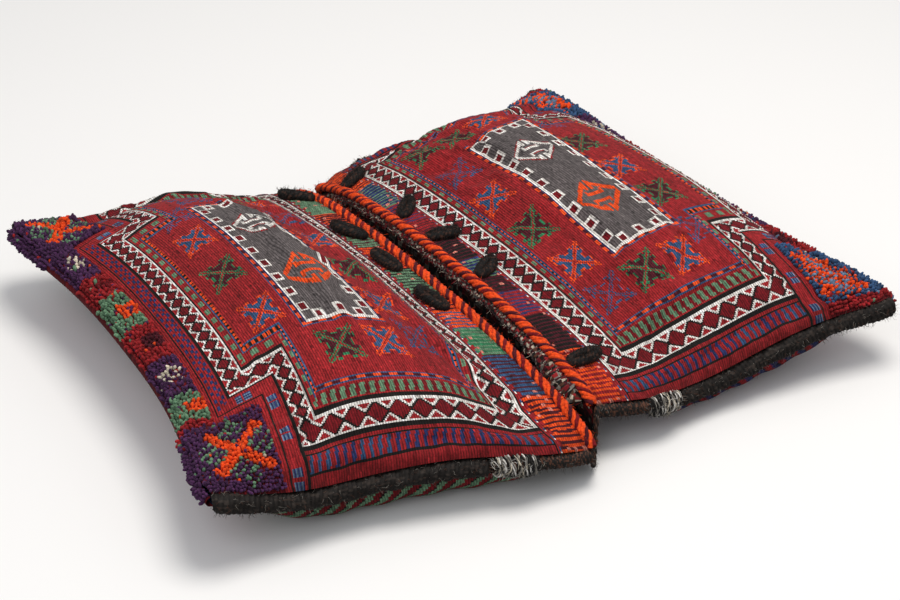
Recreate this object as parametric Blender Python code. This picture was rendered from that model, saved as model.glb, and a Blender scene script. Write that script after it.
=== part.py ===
"""Flat-woven double saddle bag, lying stuffed on the ground.

One long strip of cloth makes the whole bag: a face, a fold, a back, the bridge,
and the same again on the other side. +X runs along the strip, +Y along the two
mouths, +Z up. The origin is on the ground under the middle of the whole bag.
Every point of a face is named by its place in the flat cloth: along, measured
from the mouth's rim, and across, measured from the front edge.
"""
import math

import bmesh
import bpy
import numpy as np

# The cloth, as woven
STRIP_WIDTH = 0.600
FACE_LENGTH = 0.380
CLOTH = 0.005
PILE = 0.004

# How the stuffed pouches close
VALLEY_DEPTH = 0.030
SEAM_GAP = 0.0006
CLEARANCE = 0.0003
UNDERSIDE_RUN = 1.6
MOUTH_ROOM = 0.007
MOUTH_RUN = 0.028
STEEPEST = 2.4
RUMPLE = 1.4

# Heights over the ground, from the mouth to the outer fold
CROWN_STATIONS = (0.0, 0.12, 0.35, 0.60, 0.82, 1.0)
SEAM_STATIONS = (0.0, 0.35, 0.70, 1.0)
LEFT_FRONT_SEAM = (0.040, 0.062, 0.060, 0.084)
LEFT_BACK_SEAM = (0.047, 0.050, 0.060, 0.086)
LEFT_CROWN = (0.051, 0.049, 0.099, 0.118, 0.068, 0.008)
RIGHT_FRONT_SEAM = (0.060, 0.043, 0.066, 0.075)
RIGHT_BACK_SEAM = (0.049, 0.063, 0.056, 0.083)
RIGHT_CROWN = (0.047, 0.043, 0.092, 0.106, 0.082, 0.012)
LEFT_CROWN_POWER = 2.36
LEFT_CROWN_FULLNESS = 0.71
RIGHT_CROWN_POWER = 2.32
RIGHT_CROWN_FULLNESS = 0.78

# How each pouch lies over the ground: its rim's distance from the valley's middle at the
# front, the middle and the back, the reach of its side edges against that of its middle,
# the spread of the cloth at the mouth, halfway and at the fold, and its lean and place
LEFT_RIM = (0.012, 0.028, 0.028)
LEFT_SIDE_REACH = (1.06, 0.904)
LEFT_SPREAD = (1.059, 1.074, 0.991)
LEFT_LEAN = 0.17
LEFT_PLACE = -0.011
RIGHT_RIM = (0.021, 0.010, 0.010)
RIGHT_SIDE_REACH = (1.026, 0.890)
RIGHT_SPREAD = (0.983, 1.064, 1.029)
RIGHT_LEAN = 0.0
RIGHT_PLACE = 0.014

# Places in the pattern, along the cloth from the rim
TAB_BAND = 0.041
DIAMOND_BAND = 0.067
RIB_BAND = 0.081
MEDALLION_START = 0.145
MEDALLION_END = 0.222
NOTCH_START = 0.248
NOTCH_FRAME_WIDTH = 0.022
FIELD_END = 0.290
OUTER_DIAMONDS = 0.307
PILE_START = 0.328

# Places in the pattern, across the cloth from either side
SIDE_RED = 0.033
SIDE_DIAMONDS = 0.058
SIDE_RIBS = 0.088
NOTCH_SIDE = 0.148
MEDALLION_SIDE = 0.168
NOTCH_FIELD = 0.181

# Slits for the closure loops, in the tab band
SLIT_WIDTH = 0.004
SLIT_START = 0.010
SLIT_END = 0.036
SLIT_PLACES = (0.060, 0.244, 0.332, 0.412, 0.536)
LEFT_LOOP_PLACES = SLIT_PLACES[1:]
RIGHT_LOOP_PLACES = SLIT_PLACES
LOOP_THICKNESS = 0.0056
LOOP_LENGTH = 0.040
LOOP_WIDTH = 0.022
LOOP_SEAT = 0.0009

# Cords and bindings
SIDE_CORD_HEIGHT = 0.020
SIDE_CORD_DEPTH = 0.012
OVERCAST_PITCH = 0.018
OVERCAST_RELIEF = 0.10
KNOT_START = 0.060
KNOT_LENGTH = 0.046
KNOT_HEIGHT = 0.027
KNOT_DEPTH = 0.017
KNOT_WAIST = 0.72
LASHING_HEIGHT = 0.016
LASHING_DEPTH = 0.009
BRAID_DIAMETER = 0.013
BRAID_PITCH = 0.030
BRAID_FLATNESS = 0.14
BRAID_END_MARGIN = 0.006

# Fineness of the worked-out surfaces
FINE_STEPS = 40
FOLD_STEPS = 4
BRIDGE_STATIONS = (0.14, 0.28, 0.5, 0.72, 0.86)
CORD_SIDES = 5
BRAID_SIDES = 6
LOOP_STATIONS = 14
LOOP_SIDES = 5

COLOURS = {
    "brick_red_wool": (0.30, 0.022, 0.026),
    "dark_red_wool": (0.12, 0.008, 0.013),
    "ivory_cotton": (0.74, 0.70, 0.62),
    "black_goat_hair": (0.012, 0.010, 0.009),
    "slate_wool": (0.10, 0.085, 0.088),
    "navy_wool": (0.025, 0.035, 0.12),
    "green_wool": (0.12, 0.27, 0.17),
    "orange_wool": (0.72, 0.09, 0.015),
    "maroon_wool": (0.09, 0.012, 0.02),
    "purple_pile": (0.06, 0.022, 0.06),
    "grey_goat_hair": (0.16, 0.155, 0.15),
    "raw_wool_filling": (0.55, 0.50, 0.42),
}
SLOTS = list(COLOURS)


def clear_scene():
    """Remove every object that a new file starts with."""
    for thing in list(bpy.data.objects):
        bpy.data.objects.remove(thing, do_unlink=True)


def make_material(name):
    """A matt woollen finish in one named colour."""
    material = bpy.data.materials.new(name)
    material.use_nodes = True
    shader = material.node_tree.nodes["Principled BSDF"]
    shader.inputs["Base Color"].default_value = (*COLOURS[name], 1.0)
    shader.inputs["Roughness"].default_value = 0.9
    shader.inputs["Metallic"].default_value = 0.0
    return material


def smooth_curve(stations, heights, places):
    """Heights read off a smooth curve through the stations."""
    k = np.asarray(stations)
    v = np.asarray(heights)
    slope = np.gradient(v, k)
    slope[1:-1] = (v[2:] - v[:-2]) / (k[2:] - k[:-2])
    i = np.clip(np.searchsorted(k, places, side="right") - 1, 0, len(k) - 2)
    span = k[i + 1] - k[i]
    u = (places - k[i]) / span
    rise = (2 * u**3 - 3 * u**2 + 1) * v[i] + (3 * u**2 - 2 * u**3) * v[i + 1]
    return rise + (u**3 - 2 * u**2 + u) * span * slope[i] + (u**3 - u**2) * span * slope[i + 1]


def ease(u):
    """From 0 to 1, steep at first and level at the end."""
    return 1 - (1 - np.clip(u, 0, 1)) ** 2


def ease_both(u):
    """From 0 to 1, level at both ends."""
    u = np.clip(u, 0, 1)
    return u * u * (3 - 2 * u)


def three_point(first, middle, last, places):
    """A parabola through three values, at -1, 0 and 1."""
    return middle + (last - first) / 2 * places + ((first + last) / 2 - middle) * places**2


class Pouch:
    """One stuffed pouch: the height of its two faces over one shared plan."""

    def __init__(self, side, seams, crown, fullness, rim, side_reach, spread, lean, place):
        self.side = side
        along = np.linspace(0, 1, FINE_STEPS + 1)
        across = np.linspace(-1, 1, FINE_STEPS + 1)
        front, back = [smooth_curve(SEAM_STATIONS, seam, along)[:, None] for seam in seams]
        seam_height = front + (back - front) * ((across + 1) / 2)[None, :]
        crown_height = smooth_curve(CROWN_STATIONS, crown, along)[:, None]
        power, blunt = fullness
        self.top = seam_height + crown_height * ((1 - np.abs(across) ** power).clip(0) ** blunt)[None, :]
        self.lay_out_plan(along, across, rim, side_reach, spread, lean, place)
        self.top_inside = self.top - CLOTH * self.stretch(self.top)
        self.bottom_inside = self.sag(along, across)
        outside = self.bottom_inside - CLOTH * self.stretch(self.bottom_inside)
        self.bottom = np.maximum(outside, 0.0)

    def lay_out_plan(self, along, across, rim, side_reach, spread, lean, place):
        """Plan places: what the cloth rises is taken off its reach over the ground."""
        step = FACE_LENGTH / FINE_STEPS
        reach = step / np.sqrt(1 + RUMPLE * (np.diff(self.top, axis=0) / step) ** 2)
        x = np.vstack([np.zeros(FINE_STEPS + 1), np.cumsum(reach, 0)])
        x = x * three_point(side_reach[0], 1.0, side_reach[1], across) + three_point(*rim, across)
        step = STRIP_WIDTH / FINE_STEPS
        reach = step / np.sqrt(1 + RUMPLE * (np.diff(self.top, axis=1) / step) ** 2)
        y = np.hstack([np.zeros((FINE_STEPS + 1, 1)), np.cumsum(reach, 1)])
        y = (y - y[:, [FINE_STEPS // 2]]) * three_point(*spread, 2 * along - 1)[:, None]
        self.x = self.side * x
        self.y = y + place + lean * x

    def stretch(self, height):
        """How much taller than thick the cloth stands where it slopes."""
        dx_a = np.gradient(self.x, axis=0)
        dy_a = np.gradient(self.y, axis=0)
        dx_b = np.gradient(self.x, axis=1)
        dy_b = np.gradient(self.y, axis=1)
        dz_a = np.gradient(height, axis=0)
        dz_b = np.gradient(height, axis=1)
        area = dx_a * dy_b - dx_b * dy_a
        slope_x = (dz_a * dy_b - dz_b * dy_a) / area
        slope_y = (dz_b * dx_a - dz_a * dx_b) / area
        return np.minimum(np.sqrt(1 + slope_x**2 + slope_y**2), STEEPEST)

    def sag(self, along, across):
        """Inside of the back face: down to the ground, up to the seams, fold and mouth."""
        share = (across + 1) / 2
        seam = self.top_inside[:, [0]] * (1 - share) + self.top_inside[:, [-1]] * share
        edge = seam - SEAM_GAP
        fold_lift = (self.top_inside - seam)[[-1], :]
        mouth_lift = (self.top_inside - seam)[[0], :]
        from_side = (1 - np.abs(across))[None, :] * STRIP_WIDTH / 2
        from_mouth = along[:, None] * FACE_LENGTH
        from_fold = (1 - along)[:, None] * FACE_LENGTH
        side_drop = ease(from_side / (UNDERSIDE_RUN * edge))
        fold_drop = ease(from_fold / (UNDERSIDE_RUN * (edge[[-1], :] + fold_lift)))
        mouth_drop = ease_both(from_mouth / (UNDERSIDE_RUN * (edge[[0], :] + mouth_lift)))
        border = edge + fold_lift * (1 - fold_drop) + mouth_lift * (1 - mouth_drop)
        inside = CLOTH + (border - CLOTH) * (1 - side_drop * fold_drop * mouth_drop)
        from_edge = np.minimum(from_side, np.minimum(from_mouth, from_fold))
        return np.minimum(inside, self.top_inside - SEAM_GAP - MOUTH_ROOM * ease(from_edge / MOUTH_RUN))

    def read(self, field, along, across):
        """A field's value at a place in the cloth."""
        u = np.clip(np.asarray(along) / FACE_LENGTH, 0, 1) * FINE_STEPS
        v = np.clip(np.asarray(across) / STRIP_WIDTH, 0, 1) * FINE_STEPS
        i = np.minimum(u.astype(int), FINE_STEPS - 1)
        j = np.minimum(v.astype(int), FINE_STEPS - 1)
        u = u - i
        v = v - j
        near = field[i, j] * (1 - u) + field[i + 1, j] * u
        far = field[i, j + 1] * (1 - u) + field[i + 1, j + 1] * u
        return near * (1 - v) + far * v

    def row(self, field, along, lines, lift=0.0):
        """Points of one face across the cloth, at one place along it."""
        spot = np.full(len(lines), along)
        height = self.read(field, spot, lines) + lift
        return np.stack([self.read(self.x, spot, lines), self.read(self.y, spot, lines), height], -1)


def mirrored(places):
    """The given places from one side of the cloth, and the same from the other."""
    return sorted(set(places) | {round(STRIP_WIDTH - p, 6) for p in places})


SLIT_LINES = [line for place in SLIT_PLACES for line in (place, place + SLIT_WIDTH)]
ACROSS_LINES = sorted(mirrored([0.0, SIDE_RED / 2, SIDE_RED, SIDE_DIAMONDS, SIDE_RIBS,
                                (SIDE_RIBS + NOTCH_SIDE) / 2, MEDALLION_SIDE, NOTCH_FIELD,
                                (NOTCH_FIELD + STRIP_WIDTH / 2) / 2]) + SLIT_LINES)
ALONG_LINES = [0.0, SLIT_START, SLIT_END, TAB_BAND, DIAMOND_BAND, RIB_BAND,
               (RIB_BAND + MEDALLION_START) / 2, MEDALLION_START, (MEDALLION_START + MEDALLION_END) / 2,
               MEDALLION_END, NOTCH_START, NOTCH_START + NOTCH_FRAME_WIDTH, FIELD_END, OUTER_DIAMONDS, PILE_START,
               (PILE_START + FACE_LENGTH) / 2, FACE_LENGTH]


def pile_lift(along, lines):
    """The knotted pile at the outer corners and along the fold stands proud of the weave."""
    return PILE if along > PILE_START else 0.0


def face_colour(along, across):
    """Which field of the pattern a place in a face lies in."""
    side = min(across, STRIP_WIDTH - across)
    notched = side < NOTCH_SIDE
    if along > PILE_START:
        patch = int(across / (STRIP_WIDTH / 7))
        return ("purple_pile", "green_wool", "purple_pile", "dark_red_wool",
                "purple_pile", "green_wool", "purple_pile")[min(patch, 6)]
    if along > OUTER_DIAMONDS:
        return "navy_wool"
    if notched and along > NOTCH_START + NOTCH_FRAME_WIDTH:
        return "purple_pile" if side < SIDE_RIBS else "dark_red_wool"
    if along < TAB_BAND:
        band = int(across / (STRIP_WIDTH / 12))
        return ("maroon_wool", "orange_wool", "green_wool", "orange_wool", "navy_wool")[band % 5]
    if side < SIDE_RED:
        return "dark_red_wool"
    frame = along < DIAMOND_BAND or along > FIELD_END or side < SIDE_DIAMONDS
    if frame or (notched and along > NOTCH_START):
        return "ivory_cotton"
    if along < RIB_BAND or side < SIDE_RIBS:
        return "dark_red_wool"
    if MEDALLION_START < along < MEDALLION_END and side > MEDALLION_SIDE:
        return "slate_wool"
    return "brick_red_wool"


def back_colour(across):
    """The backs are plain stripes across the cloth."""
    stripe = int(across / (STRIP_WIDTH / 16))
    return ("dark_red_wool", "green_wool", "brick_red_wool", "navy_wool")[stripe % 4]


def is_slit(along, across):
    """True inside one of the slits that the closure loops come through."""
    if not SLIT_START < along < SLIT_END:
        return False
    return any(place < across < place + SLIT_WIDTH for place in SLIT_PLACES)


def split_cell(corners, flip=False):
    """A cell of cloth as two triangles, always on the same diagonal."""
    a, b, c, d = corners
    return [(c, b, a), (d, c, a)] if flip else [(a, b, c), (a, c, d)]


def add_object(name, vertices, faces, slots, face_slots=None, smooth=False):
    """A closed mesh object with its materials."""
    mesh = bpy.data.meshes.new(name)
    mesh.from_pydata([tuple(map(float, v)) for v in vertices], [], faces)
    for slot in slots:
        mesh.materials.append(bpy.data.materials[slot])
    if face_slots:
        mesh.polygons.foreach_set("material_index", face_slots)
    mesh.update()
    if smooth:
        mesh.shade_smooth()
    thing = bpy.data.objects.new(name, mesh)
    bpy.context.collection.objects.link(thing)
    return thing


def fold_rows(pouch, lines):
    """The rounded outer fold, from the face round to the back."""
    upper = pouch.row(pouch.top, FACE_LENGTH, lines, PILE)
    lower = pouch.row(pouch.bottom, FACE_LENGTH, lines)
    middle = (upper[:, 2] + lower[:, 2]) / 2
    radius = (upper[:, 2] - lower[:, 2]) / 2
    rows = []
    for step in range(1, FOLD_STEPS):
        angle = math.pi / 2 - math.pi * step / FOLD_STEPS
        outside = upper.copy()
        outside[:, 0] += pouch.side * radius * math.cos(angle)
        outside[:, 2] = middle + radius * math.sin(angle)
        inside = upper.copy()
        inside[:, 0] += pouch.side * SEAM_GAP * math.cos(angle)
        hollow = pouch.row(pouch.top_inside, FACE_LENGTH, lines)[:, 2] - SEAM_GAP / 2
        inside[:, 2] = hollow + SEAM_GAP / 2 * math.sin(angle)
        rows.append((outside, inside))
    return rows


def bridge_rows(left, right, lines):
    """The bridge hangs from one mouth line down into the valley and up to the other."""
    start = left.row(left.bottom_inside, 0.0, lines)
    end = right.row(right.bottom_inside, 0.0, lines)
    rows = []
    for share in BRIDGE_STATIONS:
        upper = start * (1 - share) + end * share
        upper[:, 2] -= VALLEY_DEPTH * math.sin(math.pi * share) ** 2
        width = np.abs(end[:, 0] - start[:, 0])
        slope = VALLEY_DEPTH * math.pi * math.sin(2 * math.pi * share) / width
        lower = upper.copy()
        lower[:, 2] -= CLOTH * np.minimum(np.sqrt(1 + slope**2), STEEPEST)
        rows.append((lower, upper))
    return rows


def strip_rows(left, right):
    """All rows of the strip, rim to rim, as (outside, inside, kind, place along)."""
    lines = np.array(ACROSS_LINES)

    def face(pouch, places):
        return [(pouch.row(pouch.top, s, lines, pile_lift(s, lines)), pouch.row(pouch.top_inside, s, lines),
                 "face", s) for s in places]

    def back(pouch, places):
        return [(pouch.row(pouch.bottom, s, lines), pouch.row(pouch.bottom_inside, s, lines), "back", s)
                for s in places]

    left_fold = [(out, ins, "fold", FACE_LENGTH) for out, ins in fold_rows(left, lines)]
    right_fold = [(out, ins, "fold", FACE_LENGTH) for out, ins in fold_rows(right, lines)][::-1]
    bridge = [(out, ins, "bridge", 0.0) for out, ins in bridge_rows(left, right, lines)]
    return (face(left, ALONG_LINES) + left_fold + back(left, ALONG_LINES[::-1]) + bridge
            + back(right, ALONG_LINES) + right_fold + face(right, ALONG_LINES[::-1]))


def cell_slot(rows, row, column):
    """Colour of the cloth between two rows and two lines, or None in a slit."""
    kind = rows[row][2] if rows[row][2] == rows[row + 1][2] else "fold"
    along = (rows[row][3] + rows[row + 1][3]) / 2
    across = (ACROSS_LINES[column] + ACROSS_LINES[column + 1]) / 2
    if kind == "face":
        return None if is_slit(along, across) else face_colour(along, across)
    if kind == "fold" and along > PILE_START:
        return face_colour(FACE_LENGTH, across)
    if kind == "bridge":
        return "dark_red_wool"
    return back_colour(across)


def build_strip(left, right):
    """The woven strip as one solid, with slits where the loops come through."""
    rows = strip_rows(left, right)
    count = len(ACROSS_LINES)
    vertices = [p for row in rows for p in row[0]] + [p for row in rows for p in row[1]]
    inner = len(rows) * count
    cells = {}
    for row in range(len(rows) - 1):
        for column in range(count - 1):
            slot = cell_slot(rows, row, column)
            if slot:
                cells[row, column] = SLOTS.index(slot)
    faces = []
    face_slots = []
    for (row, column), slot in cells.items():
        a = row * count + column
        corners = (a, a + 1, a + count + 1, a + count)
        turned = corners[1:] + corners[:1] if rows[row][3] > rows[row + 1][3] else corners
        faces += split_cell(turned)
        faces += split_cell([inner + c for c in turned], flip=True)
        face_slots += [slot] * 4
        neighbours = ((row - 1, column), (row, column + 1), (row + 1, column), (row, column - 1))
        for k, neighbour in enumerate(neighbours):
            if neighbour not in cells:
                p, q = corners[k], corners[(k + 1) % 4]
                faces.append((q, p, inner + p, inner + q))
                face_slots.append(slot)
    used = sorted({v for face in faces for v in face})
    renumber = {old: new for new, old in enumerate(used)}
    faces = [tuple(renumber[v] for v in face) for face in faces]
    add_object("woven_strip", [vertices[v] for v in used], faces, SLOTS, face_slots)


def build_filling(name, pouch):
    """The stuffing: it fills the pouch up to where its faces close on each other."""
    lines = np.array(ACROSS_LINES[1:-1])
    places = ALONG_LINES[1:-1]
    gap = 2 * CLEARANCE
    upper = np.array([pouch.row(pouch.top_inside - gap * pouch.stretch(pouch.top_inside), s, lines)
                      for s in places])
    lower = np.array([pouch.row(pouch.bottom_inside + gap * pouch.stretch(pouch.bottom_inside), s, lines)
                      for s in places])
    rows, count = len(places), len(lines)
    vertices = list(upper.reshape(-1, 3)) + list(lower.reshape(-1, 3))
    under = rows * count
    faces = []
    for row in range(rows - 1):
        for column in range(count - 1):
            a = row * count + column
            corners = (a, a + 1, a + count + 1, a + count)
            faces += split_cell(corners)
            faces += split_cell([under + c for c in corners], flip=True)
    rim = ([c for c in range(count)] + [r * count + count - 1 for r in range(1, rows)]
           + [(rows - 1) * count + c for c in range(count - 2, -1, -1)]
           + [r * count for r in range(rows - 2, 0, -1)])
    for p, q in zip(rim, rim[1:] + rim[:1]):
        faces.append((q, p, under + p, under + q))
    add_object(name, vertices, faces, ["raw_wool_filling"], smooth=True)


def sweep(name, sections, slot):
    """A closed solid through a list of like sections, with flat ends."""
    count = len(sections[0])
    vertices = [p for section in sections for p in section]
    faces = [tuple(reversed(range(count)))]
    for k in range(len(sections) - 1):
        for i in range(count):
            j = (i + 1) % count
            near, far = k * count, (k + 1) * count
            faces.append((near + i, near + j, far + j, far + i))
    faces.append(tuple((len(sections) - 1) * count + i for i in range(count)))
    return add_object(name, vertices, faces, [slot], smooth=True)


def edge_point(pouch, back, place):
    """Middle of the sewn edge, front or back, at one place along the cloth."""
    line = np.array([STRIP_WIDTH if back else 0.0])
    corners = np.array([pouch.row(pouch.top_inside, s, line)[0] for s in ALONG_LINES])
    point = np.array([np.interp(place, ALONG_LINES, corners[:, axis]) for axis in range(3)])
    point[2] -= SEAM_GAP / 2
    return point


def edge_tangent(pouch, back, place):
    """Which way the sewn edge runs over the ground, away from the mouth."""
    step = FACE_LENGTH / FINE_STEPS
    near = edge_point(pouch, back, max(place - step, 0.0))
    far = edge_point(pouch, back, min(place + step, FACE_LENGTH))
    return (far - near)[:2]


def edge_stations(start, end, step):
    """Places along an edge, among them each line of the cloth that is passed."""
    breaks = [start] + [line for line in ALONG_LINES if start + CLEARANCE < line < end - CLEARANCE] + [end]
    places = [start]
    for near, far in zip(breaks, breaks[1:]):
        parts = max(1, round((far - near) / step))
        places += [near + (far - near) * k / parts for k in range(1, parts + 1)]
    return places


def edge_path(pouch, back, places):
    """Points and directions of the sewn edge at the given places."""
    points = [edge_point(pouch, back, place) for place in places]
    return points, [edge_tangent(pouch, back, place) for place in places]


def edge_sections(path, tangents, outward, heights, depths):
    """Half-round sections with their flat side against the cloth's edge."""
    sections = []
    for point, tangent, height, depth in zip(path, tangents, heights, depths):
        normal = np.array([-tangent[1], tangent[0]])
        normal *= (1 if normal[1] * outward > 0 else -1) / np.linalg.norm(normal)
        section = []
        for k in range(CORD_SIDES + 1):
            angle = math.pi * (k / CORD_SIDES - 0.5)
            out = CLEARANCE + depth * math.cos(angle)
            section.append((point[0] + normal[0] * out, point[1] + normal[1] * out,
                            point[2] + height / 2 * math.sin(angle)))
        sections.append(section)
    return sections


def overcast(count):
    """The wrapped turns of a cord: thick, thin, thick, thin along it."""
    return [1 + OVERCAST_RELIEF * (1 if k % 2 else -1) / 2 for k in range(count)]


def build_side_cord(name, pouch, back):
    """Goat-hair cord that overcasts face and back together along one side."""
    start = KNOT_START + KNOT_LENGTH + CLEARANCE
    places = edge_stations(start, FACE_LENGTH, OVERCAST_PITCH / 2)
    path, tangents = edge_path(pouch, back, places)
    turns = overcast(len(places))
    heights = [SIDE_CORD_HEIGHT * turn for turn in turns]
    depths = [SIDE_CORD_DEPTH * turn for turn in turns]
    sweep(name, edge_sections(path, tangents, 1 if back else -1, heights, depths), "black_goat_hair")


def build_corner_knot(name, pouch, back):
    """Grey wool wound over the cord near the mouth's corner."""
    places = edge_stations(KNOT_START, KNOT_START + KNOT_LENGTH, OVERCAST_PITCH / 2)
    path, tangents = edge_path(pouch, back, places)
    rounding = [math.sin(math.pi * (place - KNOT_START) / KNOT_LENGTH) for place in places]
    swell = [KNOT_WAIST + (1 - KNOT_WAIST) * share for share in rounding]
    heights = [KNOT_HEIGHT * share for share in swell]
    depths = [KNOT_DEPTH * share for share in swell]
    sweep(name, edge_sections(path, tangents, 1 if back else -1, heights, depths), "grey_goat_hair")


def build_mouth_lashing(name, left, right, back):
    """Thin cord along the bridge's edge, from one knot down the valley to the other."""
    places = edge_stations(0.0, KNOT_START - CLEARANCE, OVERCAST_PITCH)[::-1]
    line = np.array([STRIP_WIDTH if back else 0.0])
    valley = [(low[0] + high[0]) / 2 for low, high in bridge_rows(left, right, line)]
    path = np.array(edge_path(left, back, places)[0] + valley + edge_path(right, back, places[::-1])[0])
    share = np.linspace(0, 1, len(path))[:, None]
    start, end = -edge_tangent(left, back, places[0]), edge_tangent(right, back, places[0])
    tangents = start * (1 - share) + end * share
    heights = [LASHING_HEIGHT] * len(path)
    depths = [LASHING_DEPTH] * len(path)
    sweep(name, edge_sections(path, tangents, 1 if back else -1, heights, depths), "black_goat_hair")


def build_rim_braid(name, pouch):
    """Two-ply twisted braid sewn along the rim of the mouth."""
    radius = BRAID_DIAMETER / 2
    length = STRIP_WIDTH - 2 * BRAID_END_MARGIN
    count = 4 * round(length / BRAID_PITCH) + 1
    lines = np.linspace(BRAID_END_MARGIN, STRIP_WIDTH - BRAID_END_MARGIN, count)
    rim = pouch.row(pouch.top, 0.0, lines)
    path = rim.copy()
    path[:, 0] -= pouch.side * (radius + CLEARANCE)
    path[:, 2] -= CLOTH / 2
    tangents = np.gradient(path, axis=0)
    sections = []
    for k, (point, tangent) in enumerate(zip(path, tangents)):
        tangent = tangent / np.linalg.norm(tangent)
        sideways = np.array([1.0, 0.0, 0.0])
        sideways -= tangent * sideways.dot(tangent)
        sideways /= np.linalg.norm(sideways)
        upward = np.cross(tangent, sideways)
        section = []
        for i in range(BRAID_SIDES):
            angle = 2 * math.pi * i / BRAID_SIDES
            lobe = 1 - BRAID_FLATNESS * (0.5 - 0.5 * math.cos(2 * angle - math.pi * k / 2))
            section.append(point + radius * lobe * (sideways * math.cos(angle) + upward * math.sin(angle)))
        sections.append(section)
    sweep(name, sections, "orange_wool")


def build_loop(name, pouch, slit):
    """One goat-hair closure loop: a flat ring of cord lying over its slit."""
    radius = LOOP_THICKNESS / 2
    middle = (SLIT_START + SLIT_END) / 2
    centre = slit + SLIT_WIDTH / 2
    angles = [2 * math.pi * k / LOOP_STATIONS for k in range(LOOP_STATIONS)]
    along = np.array([middle + (LOOP_LENGTH / 2 - radius) * math.cos(a) for a in angles])
    across = np.array([centre + (LOOP_WIDTH / 2 - radius) * math.sin(a) for a in angles])
    lift = (radius + LOOP_SEAT) * pouch.read(pouch.stretch(pouch.top), along, across)
    path = np.stack([pouch.read(pouch.x, along, across), pouch.read(pouch.y, along, across),
                     pouch.read(pouch.top, along, across) + lift], -1)
    vertices = []
    for k in range(LOOP_STATIONS):
        tangent = path[(k + 1) % LOOP_STATIONS] - path[k - 1]
        tangent /= np.linalg.norm(tangent)
        outward = np.cross(tangent, (0.0, 0.0, 1.0))
        outward /= np.linalg.norm(outward)
        upward = np.cross(outward, tangent)
        for i in range(LOOP_SIDES):
            angle = 2 * math.pi * i / LOOP_SIDES
            vertices.append(path[k] + radius * (outward * math.cos(angle) + upward * math.sin(angle)))
    faces = []
    for k in range(LOOP_STATIONS):
        after = (k + 1) % LOOP_STATIONS
        for i in range(LOOP_SIDES):
            j = (i + 1) % LOOP_SIDES
            near, far = k * LOOP_SIDES, after * LOOP_SIDES
            faces.append((near + i, near + j, far + j, far + i))
    add_object(name, vertices, faces, ["black_goat_hair"], smooth=True)


def finish_meshes():
    """Faces in triangles that point outwards, and the origin under the middle of the bag."""
    corners = [v.co for thing in bpy.data.objects for v in thing.data.vertices]
    middle_x = (min(c.x for c in corners) + max(c.x for c in corners)) / 2
    middle_y = (min(c.y for c in corners) + max(c.y for c in corners)) / 2
    for thing in bpy.data.objects:
        work = bmesh.new()
        work.from_mesh(thing.data)
        bmesh.ops.translate(work, verts=work.verts, vec=(-middle_x, -middle_y, 0.0))
        bmesh.ops.triangulate(work, faces=[face for face in work.faces if len(face.verts) == 4])
        bmesh.ops.recalc_face_normals(work, faces=work.faces)
        if work.calc_volume(signed=True) < 0:
            bmesh.ops.reverse_faces(work, faces=work.faces)
        work.to_mesh(thing.data)
        work.free()


def main():
    clear_scene()
    for name in COLOURS:
        make_material(name)
    left = Pouch(-1, (LEFT_FRONT_SEAM, LEFT_BACK_SEAM), LEFT_CROWN,
                 (LEFT_CROWN_POWER, LEFT_CROWN_FULLNESS),
                 LEFT_RIM, LEFT_SIDE_REACH, LEFT_SPREAD, LEFT_LEAN, LEFT_PLACE)
    right = Pouch(1, (RIGHT_FRONT_SEAM, RIGHT_BACK_SEAM), RIGHT_CROWN,
                  (RIGHT_CROWN_POWER, RIGHT_CROWN_FULLNESS),
                  RIGHT_RIM, RIGHT_SIDE_REACH, RIGHT_SPREAD, RIGHT_LEAN, RIGHT_PLACE)
    build_strip(left, right)
    for side, pouch, loops in (("left", left, LEFT_LOOP_PLACES), ("right", right, RIGHT_LOOP_PLACES)):
        build_filling(side + "_filling", pouch)
        build_rim_braid(side + "_rim_braid", pouch)
        for number, slit in enumerate(loops, 1):
            build_loop(f"{side}_closure_loop_{number}", pouch, slit)
        for end, back in (("front", False), ("back", True)):
            build_side_cord(f"{side}_{end}_side_cord", pouch, back)
            build_corner_knot(f"{side}_{end}_corner_knot", pouch, back)
    build_mouth_lashing("front_mouth_lashing", left, right, False)
    build_mouth_lashing("back_mouth_lashing", left, right, True)
    finish_meshes()


main()
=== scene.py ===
"""Looks of a flat-woven double saddle bag: two stuffed pouches of one kilim strip, laid on a pale floor."""
import math

import bpy
import numpy as np
from bpy.props import FloatProperty, FloatVectorProperty, IntProperty, PointerProperty
from mathutils import Matrix, Vector


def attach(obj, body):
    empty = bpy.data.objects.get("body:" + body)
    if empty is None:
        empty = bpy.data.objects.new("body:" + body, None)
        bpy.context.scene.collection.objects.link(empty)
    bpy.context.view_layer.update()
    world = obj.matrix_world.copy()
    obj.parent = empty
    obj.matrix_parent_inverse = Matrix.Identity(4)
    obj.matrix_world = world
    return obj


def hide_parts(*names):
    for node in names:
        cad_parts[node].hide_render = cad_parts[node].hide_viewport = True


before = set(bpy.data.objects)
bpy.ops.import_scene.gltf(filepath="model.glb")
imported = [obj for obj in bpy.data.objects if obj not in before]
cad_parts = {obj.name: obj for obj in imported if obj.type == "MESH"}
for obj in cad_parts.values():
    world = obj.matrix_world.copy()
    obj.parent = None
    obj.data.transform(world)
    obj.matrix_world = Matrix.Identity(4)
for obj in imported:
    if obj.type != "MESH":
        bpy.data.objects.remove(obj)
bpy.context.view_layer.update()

bl_info = {
    "name": "Kilim saddle bag",
    "version": (1, 0, 0),
    "blender": (4, 5, 0),
    "location": "3D View > Sidebar > Saddle Bag",
    "description": "Dresses the double saddle bag in woven wool, cords, pile and hair",
    "category": "Object",
}

# The strip as woven, and where the middle of the whole bag lies in the pouches' own plan
STRIP_WIDTH = 0.600
FACE_LENGTH = 0.380
CLOTH = 0.005
BAG_MIDDLE = (-0.0017, 0.0177)

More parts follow.
